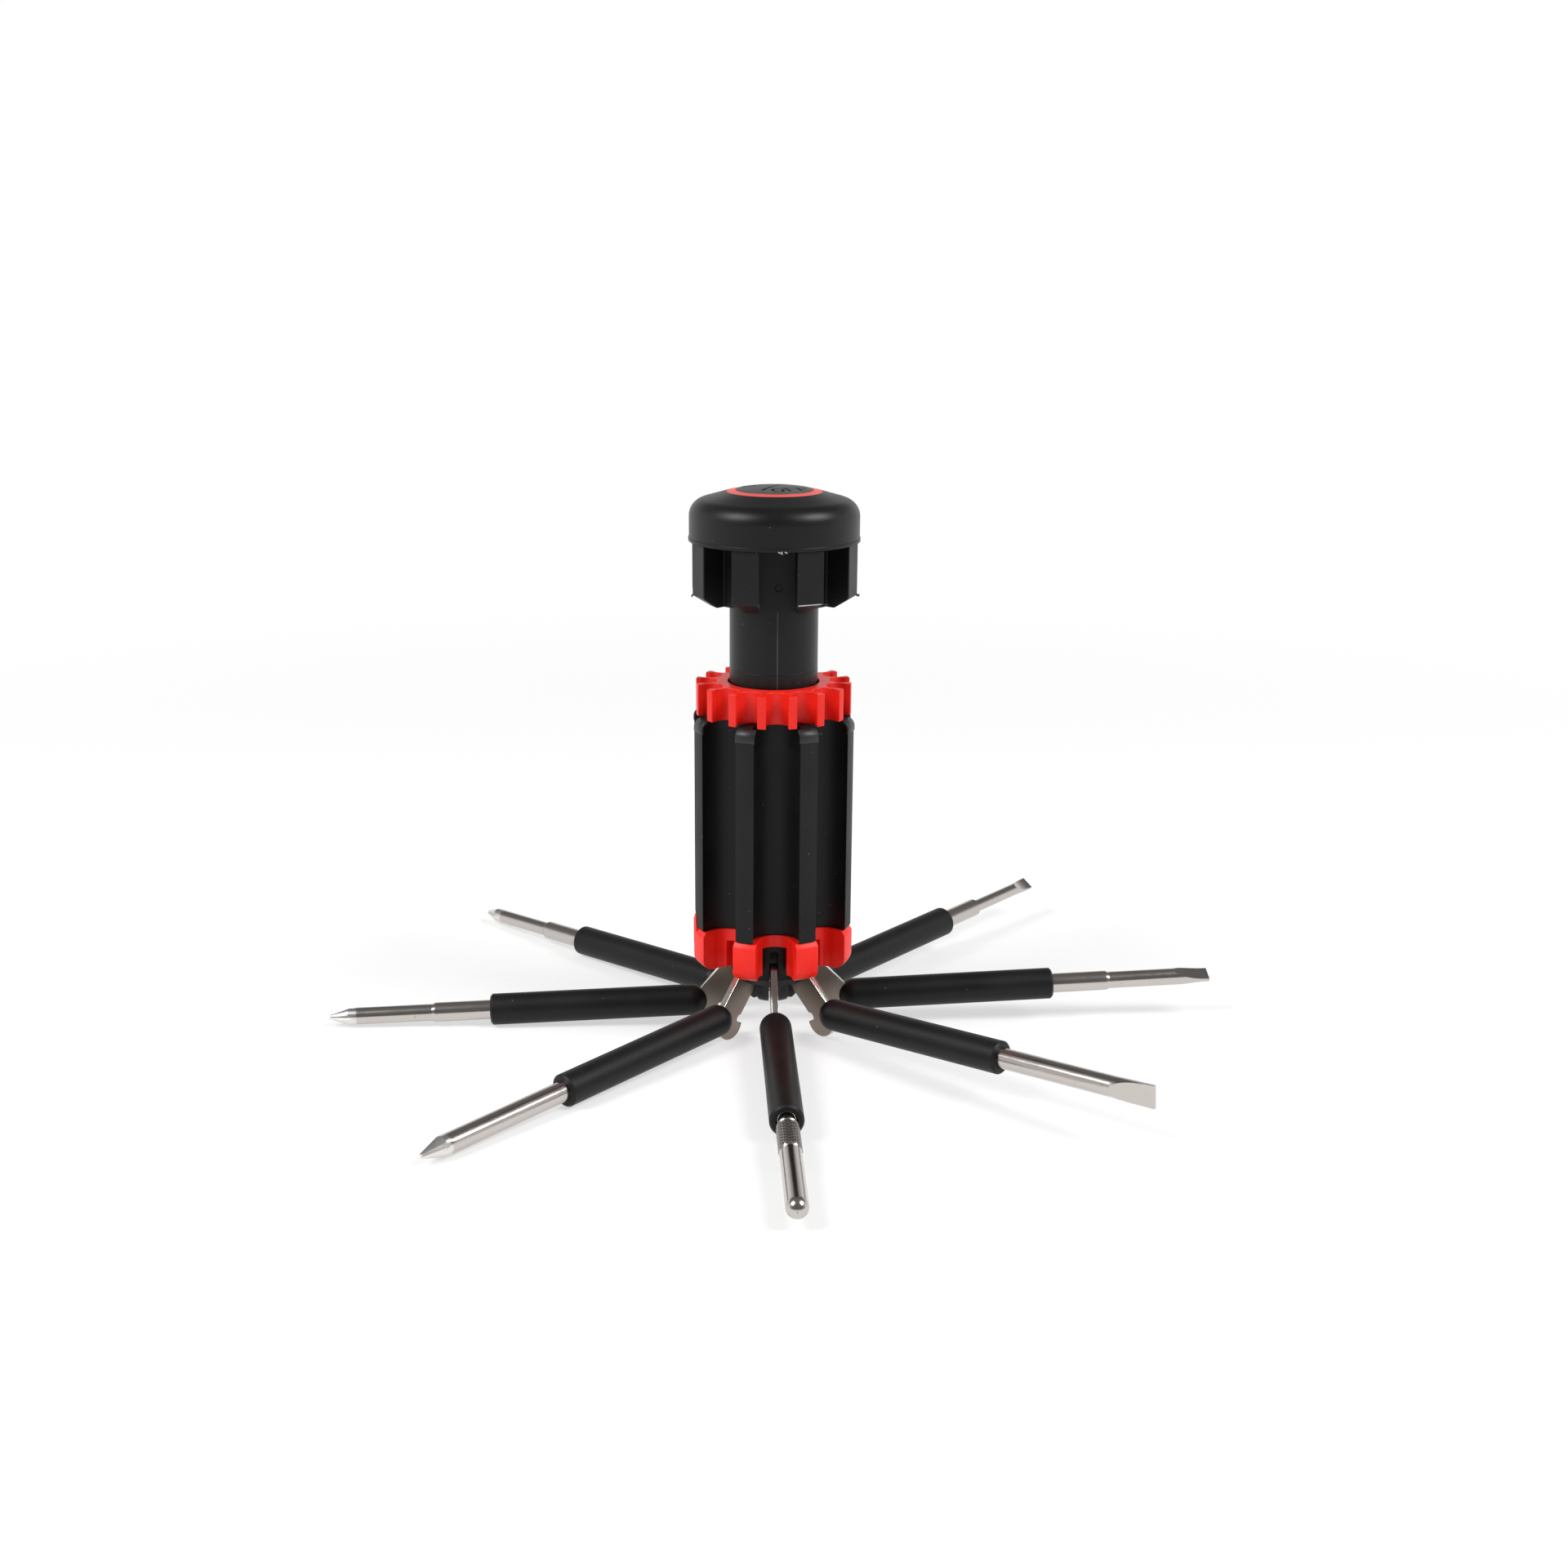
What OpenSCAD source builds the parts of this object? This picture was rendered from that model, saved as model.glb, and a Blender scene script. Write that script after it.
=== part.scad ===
// Fold-out pocket screwdriver with a pull-out LED torch, shown with its drivers fanned out.
// Millimetres, +Z up. The origin is on the ground under the handle's axis.
// The first driver of the list points along -Y and the others follow every 45 degrees towards +X.

/* [Drivers] */
// Radius from the handle's axis to the shaft of a stowed driver
stow_r = 19.5; // [19.2:0.1:20]
// Length of a driver along its shaft, from the hinge pin to the tip
driver_len = 122.5; // [116:0.5:125]
// Diameter of the steel shafts
shaft_d = 5.8; // [5:0.1:6]
// Length of the thinner end of a stepped driver, from its step to its tip
neck_len = 31.4; // [26:0.2:38]
// Length of the cone between the two diameters of a stepped driver
step_cone = 1; // [0.5:0.1:2]
// Thickness of a slotted blade at its end
blade_t = 1; // [0.7:0.1:1.4]
// Length of a blade's hollow-ground flats, in shaft diameters
flat_ratio = 2.15; // [2:0.05:3]
// Radius of the blunt nose of a cross tip
cross_nose_r = 0.7; // [0.5:0.05:1]
// Depth of core left between the flutes at a cross tip's nose
flute_core_r = 0.35; // [0.2:0.05:0.6]
// Share of a cross tip's flutes that lies on its cone
cone_share = 0.7; // [0.5:0.05:0.9]
// Diameter of the pick-up rod's neck
neck_d = 4.8; // [4.4:0.1:5.2]
// Length of the pick-up rod's neck outside the grip
pickup_neck = 2.2; // [1.5:0.1:3]
// Length of the collar after the neck
pickup_collar = 1.6; // [1.4:0.1:2.4]
// Length of the ridged band after the collar
pickup_band = 14; // [12:0.5:16]
// Chamfer on the ends of collar, band and barrel
pickup_edge = 0.4; // [0.2:0.05:0.6]

/* [Grips] */
// Diameter of a grip
grip_d = 9.3; // [8.6:0.1:9.8]
// Distance along the shaft from the hinge pin to the grip's round end
grip_at = 10; // [9.6:0.1:11]
// Length of a grip
grip_len = 64.6; // [56:0.2:66]
// Chamfer on the outer end of a grip
grip_chamfer = 0.6; // [0.3:0.1:1]
// Clearance round what a grip is moulded over
grip_fit = 0.05; // [0.03:0.01:0.1]

/* [Links] */
// Thickness of a link plate
link_t = 2; // [1.6:0.1:2.2]
// Width of a link plate
link_w = 8.1; // [7:0.1:8.6]
// Height of a link's centre line above its hinge pin
link_rise = 0.6; // [0.3:0.1:0.8]
// Length of a link's tail inside the grip, from the grip's round end
link_tail = 14; // [10:0.5:20]
// Radius of the heel that stands on the ground
heel_r = 4.8; // [4.5:0.1:5.2]
// Distance along the shaft from the hinge pin to the heel's centre
heel_u = 9.8; // [9.2:0.1:10.4]
// Depth of the heel's centre below the shaft's axis
heel_drop = 2.45; // [2:0.05:2.8]
// Radius of the notch between link and heel
notch_r = 1.4; // [1:0.1:1.6]

/* [Hinge] */
// Diameter of the hinge ring's wire
wire_d = 2; // [1.6:0.1:2.4]
// Radial clearance of the wire in a link's hole
pin_fit = 0.05; // [0.03:0.01:0.08]
// Clearance of the ring's wire in its groove
wire_seat = 0.1; // [0.05:0.01:0.15]
// Clearance on each side of a link in its slot
link_gap = 0.25; // [0.15:0.05:0.35]
// Clearance round the edges of a link in its slot
edge_gap = 0.35; // [0.25:0.05:0.5]

/* [Hub] */
// Radius of the hub's nose
nose_r = 7.9; // [7.4:0.1:8.4]
// Depth of the nose's end below the hinge pins
nose_drop = 8.6; // [8:0.1:9]
// Rounding of the nose's lower edge
nose_edge = 2; // [0.8:0.1:2.4]
// Radius of the collar that carries the wire
collar_r = 11.9; // [11.8:0.05:12.1]
// Thickness of the collar
collar_t = 1.7; // [1.5:0.1:2.2]
// Radius of the spigot that joins the hub to the handle
spigot_r = 3.4; // [2.8:0.1:3.6]
// Length of the spigot
spigot_len = 6; // [4:0.5:8]

/* [Handle] */
// Radius over the ribs
rib_r = 23.7; // [23.4:0.1:24]
// Length of the ribbed barrel
handle_len = 63.3; // [61:0.1:70]
// Radius to the floor of the driver grooves
groove_floor = 14; // [13.8:0.1:14.2]
// Radius of the driver grooves
groove_r = 6.8; // [6.6:0.1:7.2]
// Rounding of the ribs' ends
rib_round = 2.6; // [1:0.1:3.5]
// Radius of the handle's core inside the crown
core_r = 12.2; // [12.1:0.05:12.3]
// Radius of the cavity below the torch
cavity_r = 10.5; // [8:0.1:11]
// Thickness of the handle's floor above the crown
floor_t = 1.6; // [1:0.1:3]

/* [Crown] */
// Outer radius of the crown
crown_r = 24; // [23.8:0.1:24.8]
// Height of the crown's lower edge above the hinge pins
crown_lift = 3.3; // [3:0.1:4]
// Height of the crown
crown_h = 11.85; // [11:0.05:12.2]
// Height of the band that joins the crown's blocks
band_h = 3.6; // [3:0.1:3.7]
// Rounding of the blocks' lower edge
block_round = 3.4; // [2:0.1:5]
// Height of the bevel on top of a block
shoulder_h = 1.4; // [0.8:0.1:2]
// Depth of the bevel on top of a block
shoulder_in = 0.9; // [0.5:0.1:1.4]
// Width of a crown slot at its mouth
slot_mouth = 12; // [11.4:0.1:13]
// Width of a crown slot below the band
slot_throat = 7; // [6.4:0.1:8.2]
// Clearance round the end of a stowed grip in the crown
grip_room = 0.35; // [0.3:0.05:0.5]
// Clearance between the crown and the handle's core
crown_fit = 0.05; // [0.03:0.01:0.1]

/* [Rack] */
// Outer radius of the rack
rack_r = 22.5; // [21.8:0.1:23]
// Height of the rack
rack_h = 9.3; // [6:0.1:11]
// Width of the gaps between the ends of the rack's teeth
rack_gap = 6.2; // [6.1:0.05:6.4]
// Radius of the round pockets between the rack's teeth
rack_pocket = 3.35; // [3.2:0.05:3.45]
// Radius of the rack's hole
rack_hole = 13.1; // [12.9:0.1:13.6]

/* [Torch] */
// Outer diameter of the torch tube
tube_d = 25.3; // [25:0.1:25.4]
// Wall of the torch tube
tube_wall = 1.1; // [0.8:0.05:1.2]
// Radial clearance of the tube in the handle
slide_fit = 0.07; // [0.04:0.01:0.1]
// Clearance of the pieces inside the tube
inner_fit = 0.05; // [0.03:0.01:0.1]
// Travel from the raised cap to the closed cap
cap_travel = 13.4; // [10:0.1:14]
// Lip that keeps the lens in the tube
lens_lip = 1.2; // [0.8:0.1:1.8]
// Thickness of the lens
lens_t = 1.5; // [1:0.1:2]
// Depth of the reflector
reflector_h = 6; // [5:0.1:8]
// Diameter of a lamp
led_d = 5; // [3:0.1:5.2]
// Radius of the circle of lamps
led_ring_r = 6.8; // [6.5:0.1:7]
// Wall between two neighbouring bowls of the reflector
bowl_wall = 0.4; // [0.2:0.1:0.8]
// Thickness of the lamp board
board_t = 1.2; // [0.8:0.1:1.6]
// Thickness of a contact plate
contact_t = 0.5; // [0.3:0.1:0.8]
// Diameter of a battery cell
cell_d = 10.4; // [9.8:0.1:10.4]
// Length of a battery cell
cell_len = 44.5; // [43:0.1:45]
// Diameter of a battery cell's raised cap
cell_cap_d = 4; // [3:0.1:5.5]
// Height of a battery cell's raised cap
cell_cap_h = 0.8; // [0.5:0.1:1.5]
// Thickness of the battery carrier's end discs
carrier_t = 1.5; // [1:0.1:2]
// Radius of the battery carrier's posts
post_r = 1.8; // [1.2:0.1:1.9]
// Distance from the posts to the edge of the end discs
post_inset = 0.4; // [0.2:0.1:0.8]
// Height of the push switch
switch_h = 6.4; // [5:0.1:8]
// Width of the push switch
switch_w = 10; // [8:0.2:12]
// Depth of the switch below the tube's upper end
switch_inset = 1; // [0.5:0.1:2]
// Thickness of the switch's floor
switch_floor = 1; // [0.6:0.1:2]

/* [Cap] */
// Gap between the rack and the raised tip guard
cap_gap = 22.5; // [20:0.1:26]
// Height of the tip guard
guard_h = 18.1; // [12:0.1:20]
// Radius to the flat faces of the tip guard
guard_r = 23.5; // [22.9:0.1:23.6]
// Width of the notches in the tip guard
guard_notch = 10.4; // [9.6:0.1:10.8]
// Radius to the floor of the notches
guard_floor = 15.2; // [14.8:0.1:15.4]
// Height of the bevel on the guard's lower end
guard_bevel = 3.2; // [2:0.1:5]
// Depth of the bevel on the guard's lower end
guard_bevel_in = 5; // [3:0.1:6]
// Height of the tongues that hold the guard in the lid
tongue_h = 4; // [3:0.1:6]
// Thickness of the tongues
tongue_t = 3; // [2:0.1:4]
// Diameter of the lid
lid_d = 48.2; // [48:0.1:50]
// Wall of the lid
lid_wall = 1.2; // [0.8:0.1:1.3]
// Height at which the lid's wall would meet its sloping top
lid_h = 10.5; // [10:0.1:12]
// Slope of the lid's top
lid_slope = 16; // [10:0.5:20]
// Radius of the lid's shoulder
lid_round = 5; // [3:0.1:5.5]
// Width that the lid's lower edge stands out
lip_out = 0.2; // [0.1:0.05:0.4]
// Height of the lid's lower edge
lip_h = 0.8; // [0.5:0.1:1.5]
// Wall of the lid's inner sleeve round the tube
sleeve_wall = 1.9; // [1.2:0.1:2]
// Depth that the tube enters the lid
tube_seat = 7; // [5:0.1:8]

/* [Button] */
// Outer radius of the red bezel
bezel_r = 13.5; // [12.8:0.1:14]
// Thickness of the bezel's flange
bezel_t = 2; // [1.5:0.1:2.5]
// Rise of the bezel's flange from its outer to its inner edge
bezel_rise = 0.4; // [0.2:0.05:0.8]
// Radius of the bezel's sleeve
bezel_sleeve_r = 12; // [11.8:0.1:12.2]
// Radius of the button
button_r = 10.8; // [10:0.1:11]
// Clearance round the button
button_gap = 0.2; // [0.1:0.05:0.3]
// Travel of the button
button_travel = 1.2; // [0.6:0.1:1.6]
// Height of the button over the bezel at its edge
button_proud = 0.2; // [0:0.05:0.5]
// Rise of the button's dome
button_dome = 1.8; // [0.5:0.1:2.4]
// Radius of the button's stem
stem_r = 1.6; // [1.2:0.1:2]
// Thickness of the flange that keeps the button in
flange_t = 1; // [0.6:0.1:1.5]

/* [Hidden] */
$fn = 96;
STEP_DEG = 45;
LED_COUNT = 6;
CELL_COUNT = 3;
OVER = 1;
FAR = 40;

// name, tip, lift above the ground angle, end diameter, tip width or flute length, turn of the tip
DRIVERS = [
    ["pickup", "round", 1.3, shaft_d, 0, 0],
    ["slot_large", "slot", 6.2, shaft_d, 6.4, 90],
    ["slot_medium", "slot", 4.7, 5, 5, 20],
    ["slot_small", "slot", 3.9, 4, 4.5, 35],
    ["slot_fine", "slot", 0, 3.2, 3, 60],
    ["cross_small", "cross", 0, 4.5, 7, 20],
    ["cross_medium", "cross", 0, 5, 8, 10],
    ["cross_large", "cross", 0, shaft_d, 9.5, 30]
];
DRIVER_COUNT = len(DRIVERS);

// The hinge sits midway between the stowed shaft and the axis, so a lowered driver is in line.
hinge_r = stow_r / 2;
grip_r = grip_d / 2;
grip_end = grip_at + grip_len;
heel_v = -hinge_r - heel_drop;
heel_depth = heel_r - heel_v;
// A driver lies on the ground when its heel and its tip both touch it.
ground_angle = asin((heel_depth - hinge_r - shaft_d / 2) / (driver_len - heel_u));
hinge_z = heel_r + heel_u * sin(ground_angle) - heel_v * cos(ground_angle);
wire_r = wire_d / 2;
// The ring is bent, so its wire is off the bore's centre by the same at a link's middle and faces.
wire_ring_r = hinge_r + pow(link_t, 2) / (16 * hinge_r);
// The link's centre line runs to the tip of the grip's round end.
link_slope = atan2(hinge_r, grip_at) + asin(link_rise / norm([grip_at, hinge_r]));
link_run = sqrt(pow(grip_at, 2) + pow(hinge_r, 2) - pow(link_rise, 2));
link_top = link_rise + link_w / 2;
link_low = link_rise - link_w / 2;
slot_w = link_t + 2 * link_gap;
slot_r = link_top + edge_gap;
slot_in = hinge_r - slot_r;

crown_z = hinge_z + crown_lift;
crown_top = crown_z + crown_h;
groove_at = groove_floor + groove_r;
rack_z = crown_top + handle_len;
rack_top = rack_z + rack_h;
guard_z = rack_top + cap_gap;
lid_z = guard_z + guard_h;

tube_r = tube_d / 2;
tube_in = tube_r - tube_wall;
pack_r = tube_in - inner_fit;
tube_top = lid_z + tube_seat;
switch_top = tube_top - switch_inset;
switch_z = switch_top - switch_h;
upper_contact_z = switch_z - contact_t;
carrier_top = upper_contact_z;
cells_z = carrier_top - carrier_t - cell_len;
carrier_z = cells_z - carrier_t;
board_z = carrier_z - contact_t - board_t;
reflector_z = board_z - reflector_h;
lens_z = reflector_z - lens_t;
tube_z = lens_z - lens_lip;
ledge_z = tube_z - cap_travel;
bore_r = tube_r + slide_fit;
cell_ring_r = cell_d / 2 / sin(180 / CELL_COUNT);
post_ring_r = pack_r - post_inset - post_r;

lid_r = lid_d / 2;
lid_in = lid_r - lid_wall;
shoulder_z = lid_z + lid_h;
half_turn = 45 - lid_slope / 2;
bezel_edge = lid_level(bezel_r);
bezel_z = bezel_edge - bezel_t;
bezel_top = bezel_edge + bezel_rise;
flange_z = tube_top + 2 * button_gap + button_travel;
flange_top = flange_z + flange_t;

// Height of the lid's sloping top at a radius.
function lid_level(r) = shoulder_z + (lid_r - r) * tan(lid_slope);

// Direction helpers: children are drawn with the outward direction along +X.
module at_driver(k) rotate(STEP_DEG * k - 90) children();
module at_rib(k) rotate(STEP_DEG * (k + 0.5) - 90) children();
module all_drivers() for (k = [0:DRIVER_COUNT - 1]) at_driver(k) children();
module all_ribs() for (k = [0:DRIVER_COUNT - 1]) at_rib(k) children();

// A flat outline in the radius and height plane, given a thickness across it.
module upright(t) rotate([90, 0, 0]) linear_extrude(t, center = true) children();
module tube(r, z0, z1) translate([0, 0, z0]) cylinder(r = r, h = z1 - z0);

// Driver k in place: X runs out along its shaft's direction from the hinge pin.
module posed(k)
    at_driver(k)
        translate([hinge_r, 0, hinge_z])
            rotate([0, ground_angle - DRIVERS[k][2], 0])
                children();

// The ring of wire that all the links are threaded on.
module wire_ring(r) rotate_extrude() translate([wire_ring_r, hinge_z]) circle(r);

// The space that a link needs from stowed to lowered, as an outline in radius and height.
module link_space() {
    run = FAR;
    foot = [hinge_r - slot_r * cos(link_slope), hinge_z + slot_r * sin(link_slope)];
    translate([hinge_r, hinge_z]) circle(slot_r);
    polygon([
        foot,
        foot + run * [sin(link_slope), cos(link_slope)],
        [hinge_r + FAR, -FAR],
        [slot_in, -FAR],
        [slot_in, hinge_z]
    ]);
}

// The space across the axis that a lowered link and its heel need.
module lowered_space() {
    edge = link_low - edge_gap;
    low = hinge_z - (hinge_r * cos(link_slope) + edge) / sin(link_slope);
    start = [hinge_r + edge * cos(link_slope), hinge_z - edge * sin(link_slope)];
    polygon([start, [0, low], [-FAR, low], [-FAR, -FAR], [start[0], -FAR]]);
}

module link_slots()
    all_drivers()
        upright(slot_w) {
            link_space();
            lowered_space();
        }

module handle_body()
    color([0.11, 0.11, 0.115])
        difference() {
            union() {
                intersection() {
                    translate([0, 0, crown_top])
                        linear_extrude(handle_len)
                            difference() {
                                circle(rib_r);
                                all_drivers() translate([groove_at, 0]) circle(groove_r);
                            }
                    rotate_extrude() rib_envelope();
                }
                tube(core_r, hinge_z, crown_top + OVER);
            }
            tube(bore_r, ledge_z, rack_z + OVER);
            tube(cavity_r, crown_top + floor_t, ledge_z + OVER);
            tube(spigot_r + crown_fit, hinge_z - OVER, hinge_z + spigot_len + OVER);
            link_slots();
            wire_ring(wire_r + wire_seat);
        }

// Half section of the barrel, with the ends of the ribs rounded over.
module rib_envelope()
    difference() {
        translate([0, crown_top]) square([rib_r + OVER, handle_len]);
        translate([rib_r, rack_z]) mirror([0, 1]) corner_cut(rib_round);
        translate([rib_r, crown_top]) corner_cut(shoulder_h / 2);
    }

// The waste outside a rounded corner whose sides meet at the origin, material to the upper left.
module corner_cut(r)
    translate([-r, 0])
        difference() {
            translate([0, -OVER]) square([r + 2 * OVER, r + OVER]);
            translate([0, r]) circle(r);
            translate([-r, r]) square([2 * r, OVER]);
        }

module hinge_crown()
    color([0.93, 0.16, 0.11])
        difference() {
            rotate_extrude() crown_section();
            all_drivers()
                translate([0, 0, crown_z - OVER]) {
                    linear_extrude(crown_h + 2 * OVER) crown_pocket();
                    linear_extrude(crown_h - band_h + OVER)
                        translate([0, -slot_throat / 2])
                            square([stow_r, slot_throat]);
                }
        }

module crown_section() {
    inner = core_r + crown_fit;
    difference() {
        translate([inner, crown_z]) square([crown_r - inner, crown_h]);
        translate([crown_r, crown_z]) corner_cut(block_round);
        polygon([
            [crown_r, crown_top - shoulder_h],
            [crown_r + OVER, crown_top - shoulder_h],
            [crown_r + OVER, crown_top + OVER],
            [crown_r - shoulder_in, crown_top + OVER],
            [crown_r - shoulder_in, crown_top]
        ]);
    }
}

// A pocket round the end of a stowed grip, which widens to the slot's mouth.
module crown_pocket() {
    pocket_r = grip_r + grip_room;
    translate([stow_r, 0]) circle(pocket_r);
    polygon([
        [stow_r, pocket_r],
        [crown_r, slot_mouth / 2],
        [FAR, slot_mouth / 2],
        [FAR, -slot_mouth / 2],
        [crown_r, -slot_mouth / 2],
        [stow_r, -pocket_r]
    ]);
}

module thrust_hub()
    color([0.13, 0.13, 0.135])
        difference() {
            rotate_extrude() hub_section();
            link_slots();
            wire_ring(wire_r + wire_seat);
        }

module hub_section() {
    nose_z = hinge_z - nose_drop;
    difference() {
        translate([0, nose_z]) square([nose_r, nose_drop]);
        translate([nose_r, nose_z]) corner_cut(nose_edge);
    }
    translate([0, hinge_z - collar_t]) square([collar_r, collar_t]);
    translate([0, hinge_z - OVER]) square([spigot_r, spigot_len + OVER]);
}

module hinge_wire() color([0.72, 0.7, 0.67]) wire_ring(wire_r);

module tip_rack()
    color([0.93, 0.16, 0.11])
        translate([0, 0, rack_z])
            linear_extrude(rack_h)
                difference() {
                    circle(rack_r);
                    circle(rack_hole);
                    all_drivers() rack_cut();
                    all_ribs() rack_cut();
                }

// One round pocket that a shaft drops into through a narrower mouth.
module rack_cut()
    translate([stow_r, 0]) {
        circle(rack_pocket);
        translate([0, -rack_gap / 2]) square([FAR, rack_gap]);
    }

module cap_lid()
    color([0.1, 0.1, 0.105])
        rotate_extrude()
            difference() {
                union() {
                    difference() {
                        lid_outside();
                        lid_form(lid_wall);
                    }
                    lid_sleeve();
                }
                translate([0, lid_z - OVER]) square([bezel_sleeve_r + inner_fit, FAR]);
                translate([0, bezel_z]) square([bezel_r + inner_fit, FAR]);
            }

module lid_outside() {
    translate([0, lid_z]) square([lid_r + lip_out, lip_h]);
    lid_form(0);
}

// Half section of the lid, drawn in by the wall w: straight side, round shoulder and sloping top.
module lid_form(w) {
    top = shoulder_z - w * tan(half_turn);
    corner = lid_round - w;
    reach = corner + OVER;
    centre = [lid_r - lid_round, shoulder_z - lid_round * tan(half_turn)];
    difference() {
        polygon([[0, lid_z], [lid_r - w, lid_z], [lid_r - w, top], [0, top + (lid_r - w) * tan(lid_slope)]]);
        difference() {
            polygon([
                centre,
                centre + [reach, 0],
                centre + reach / cos(half_turn) * [cos(half_turn), sin(half_turn)],
                centre + reach * [sin(lid_slope), cos(lid_slope)]
            ]);
            translate(centre) circle(corner);
        }
    }
}

// The sleeve that holds the tube, and the ring above the tube that carries the bezel.
module lid_sleeve() {
    inner = tube_r + inner_fit;
    outer = inner + sleeve_wall;
    translate([inner, lid_z]) square([sleeve_wall, lid_level(outer) - lid_wall / 2 - lid_z]);
    translate([bezel_sleeve_r + inner_fit, tube_top])
        square([outer - bezel_sleeve_r - 2 * inner_fit, bezel_z + OVER - tube_top]);
}

module tip_guard()
    color([0.1, 0.1, 0.105]) {
        difference() {
            translate([0, 0, guard_z])
                linear_extrude(guard_h)
                    guard_plan(guard_r);
            all_ribs() upright(guard_r) guard_bevel_cut();
        }
        translate([0, 0, lid_z - OVER])
            linear_extrude(tongue_h + OVER)
                difference() {
                    intersection() {
                        guard_plan(guard_r);
                        circle(lid_in);
                    }
                    circle(lid_in - tongue_t);
                }
    }

// Eight-sided plan with a flat on each tab and a notch for each driver's tip.
module guard_plan(r)
    difference() {
        circle(r / cos(STEP_DEG / 2), $fn = DRIVER_COUNT);
        circle(tube_r + inner_fit);
        all_drivers()
            translate([guard_floor, -guard_notch / 2])
                square([FAR, guard_notch]);
    }

// The waste under a tab's bevel, as an outline in radius and height.
module guard_bevel_cut()
    polygon([
        [guard_r - guard_bevel_in, guard_z],
        [guard_r, guard_z + guard_bevel],
        [guard_r + OVER, guard_z + guard_bevel],
        [guard_r + OVER, guard_z - OVER],
        [guard_r - guard_bevel_in, guard_z - OVER]
    ]);

module battery_tube()
    color([0.1, 0.1, 0.105])
        difference() {
            tube(tube_r, tube_z, tube_top);
            tube(tube_in, lens_z, tube_top + OVER);
            tube(tube_in - lens_lip, tube_z - OVER, lens_z + OVER);
        }

module torch_lens() color([0.85, 0.9, 0.95, 0.4]) tube(pack_r, lens_z, reflector_z);

module all_leds()
    for (k = [0:LED_COUNT - 1])
        rotate(360 / LED_COUNT * k)
            translate([led_ring_r, 0, 0])
                children();

module reflector() {
    bowl_r = led_ring_r * sin(180 / LED_COUNT) - bowl_wall / 2;
    color([0.85, 0.85, 0.86])
        difference() {
            tube(pack_r, reflector_z, board_z);
            all_leds() tube(led_d / 2 + inner_fit, reflector_z - OVER, board_z + OVER);
            all_leds()
                translate([0, 0, reflector_z])
                    cylinder(r1 = bowl_r, r2 = led_d / 2 + inner_fit, h = led_d / 2);
        }
}

module led_lamps()
    color([0.95, 0.95, 0.9])
        all_leds()
            rotate_extrude() {
                translate([0, reflector_z + led_d]) square([led_d / 2, board_z - reflector_z - led_d]);
                intersection() {
                    translate([0, reflector_z + led_d]) circle(led_d / 2);
                    translate([0, reflector_z]) square(led_d);
                }
            }

module led_board() color([0.1, 0.4, 0.2]) tube(pack_r, board_z, board_z + board_t);

module contact_plates()
    color([0.8, 0.66, 0.35]) {
        tube(pack_r - tube_wall, carrier_z - contact_t, carrier_z);
        tube(pack_r - tube_wall, upper_contact_z, switch_z);
    }

module all_cells() for (k = [0:CELL_COUNT - 1]) rotate(360 / CELL_COUNT * k) children();

module battery_cells()
    color([0.75, 0.75, 0.78])
        all_cells() translate([cell_ring_r + inner_fit, 0, 0]) cell();

// One cell with its raised cap; neighbours lie a hair apart.
module cell() {
    tube(cell_d / 2, cells_z, cells_z + cell_len - cell_cap_h);
    tube(cell_cap_d / 2, cells_z, cells_z + cell_len);
}

module battery_carrier()
    color([0.16, 0.16, 0.17]) {
        tube(pack_r, carrier_z, cells_z);
        tube(pack_r, cells_z + cell_len, carrier_top);
        all_cells()
            rotate(180 / CELL_COUNT)
                translate([post_ring_r, 0, 0])
                    tube(post_r, cells_z - OVER / 2, cells_z + cell_len + OVER / 2);
    }

module push_switch()
    color([0.2, 0.2, 0.22])
        difference() {
            translate([-switch_w / 2, -switch_w / 2, switch_z]) cube([switch_w, switch_w, switch_h]);
            tube(stem_r + button_gap, switch_z + switch_floor, switch_top + OVER);
        }

module button_bezel()
    color([0.93, 0.16, 0.11])
        rotate_extrude() {
            polygon([
                [button_r + button_gap, bezel_z],
                [bezel_r, bezel_z],
                [bezel_r, bezel_edge],
                [button_r + button_gap, bezel_top]
            ]);
            translate([button_r + button_gap, flange_top + button_gap])
                square([bezel_sleeve_r - button_r - button_gap, bezel_z + OVER - flange_top - button_gap]);
        }

module power_button()
    color([0.12, 0.12, 0.125])
        rotate_extrude() button_section();

// Half section: domed key, retaining flange under the bezel's sleeve, and the stem to the switch.
module button_section() {
    edge_z = bezel_top + button_proud;
    dome_r = (pow(button_r, 2) + pow(button_dome, 2)) / (2 * button_dome);
    translate([0, flange_z]) square([button_r, edge_z - flange_z]);
    translate([0, flange_z]) square([bezel_sleeve_r - 2 * button_gap, flange_top - flange_z]);
    translate([0, switch_top - button_travel]) square([stem_r, flange_z - switch_top + button_travel + OVER]);
    intersection() {
        translate([0, edge_z + button_dome - dome_r]) circle(dome_r);
        translate([0, edge_z - OVER / 2]) square([button_r, FAR]);
    }
}

// Plan of a link plate with the hinge pin at the origin and the shaft along +X below it.
module link_outline() {
    difference() {
        union() {
            rotate(-link_slope) {
                translate([0, link_rise]) circle(link_w / 2);
                translate([0, link_low]) square([link_run + grip_r / 2, link_w]);
            }
            translate([heel_u, heel_v]) circle(heel_r);
            translate([heel_u, -hinge_r - shaft_d / 2]) square([grip_at + link_tail - heel_u, shaft_d]);
        }
        rotate(-link_slope) translate([link_run - notch_r, link_low - notch_r / 2]) circle(notch_r);
        circle(wire_r + pin_fit);
    }
}

module driver_link(k) color([0.62, 0.59, 0.55]) posed(k) upright(link_t) link_outline();

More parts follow.
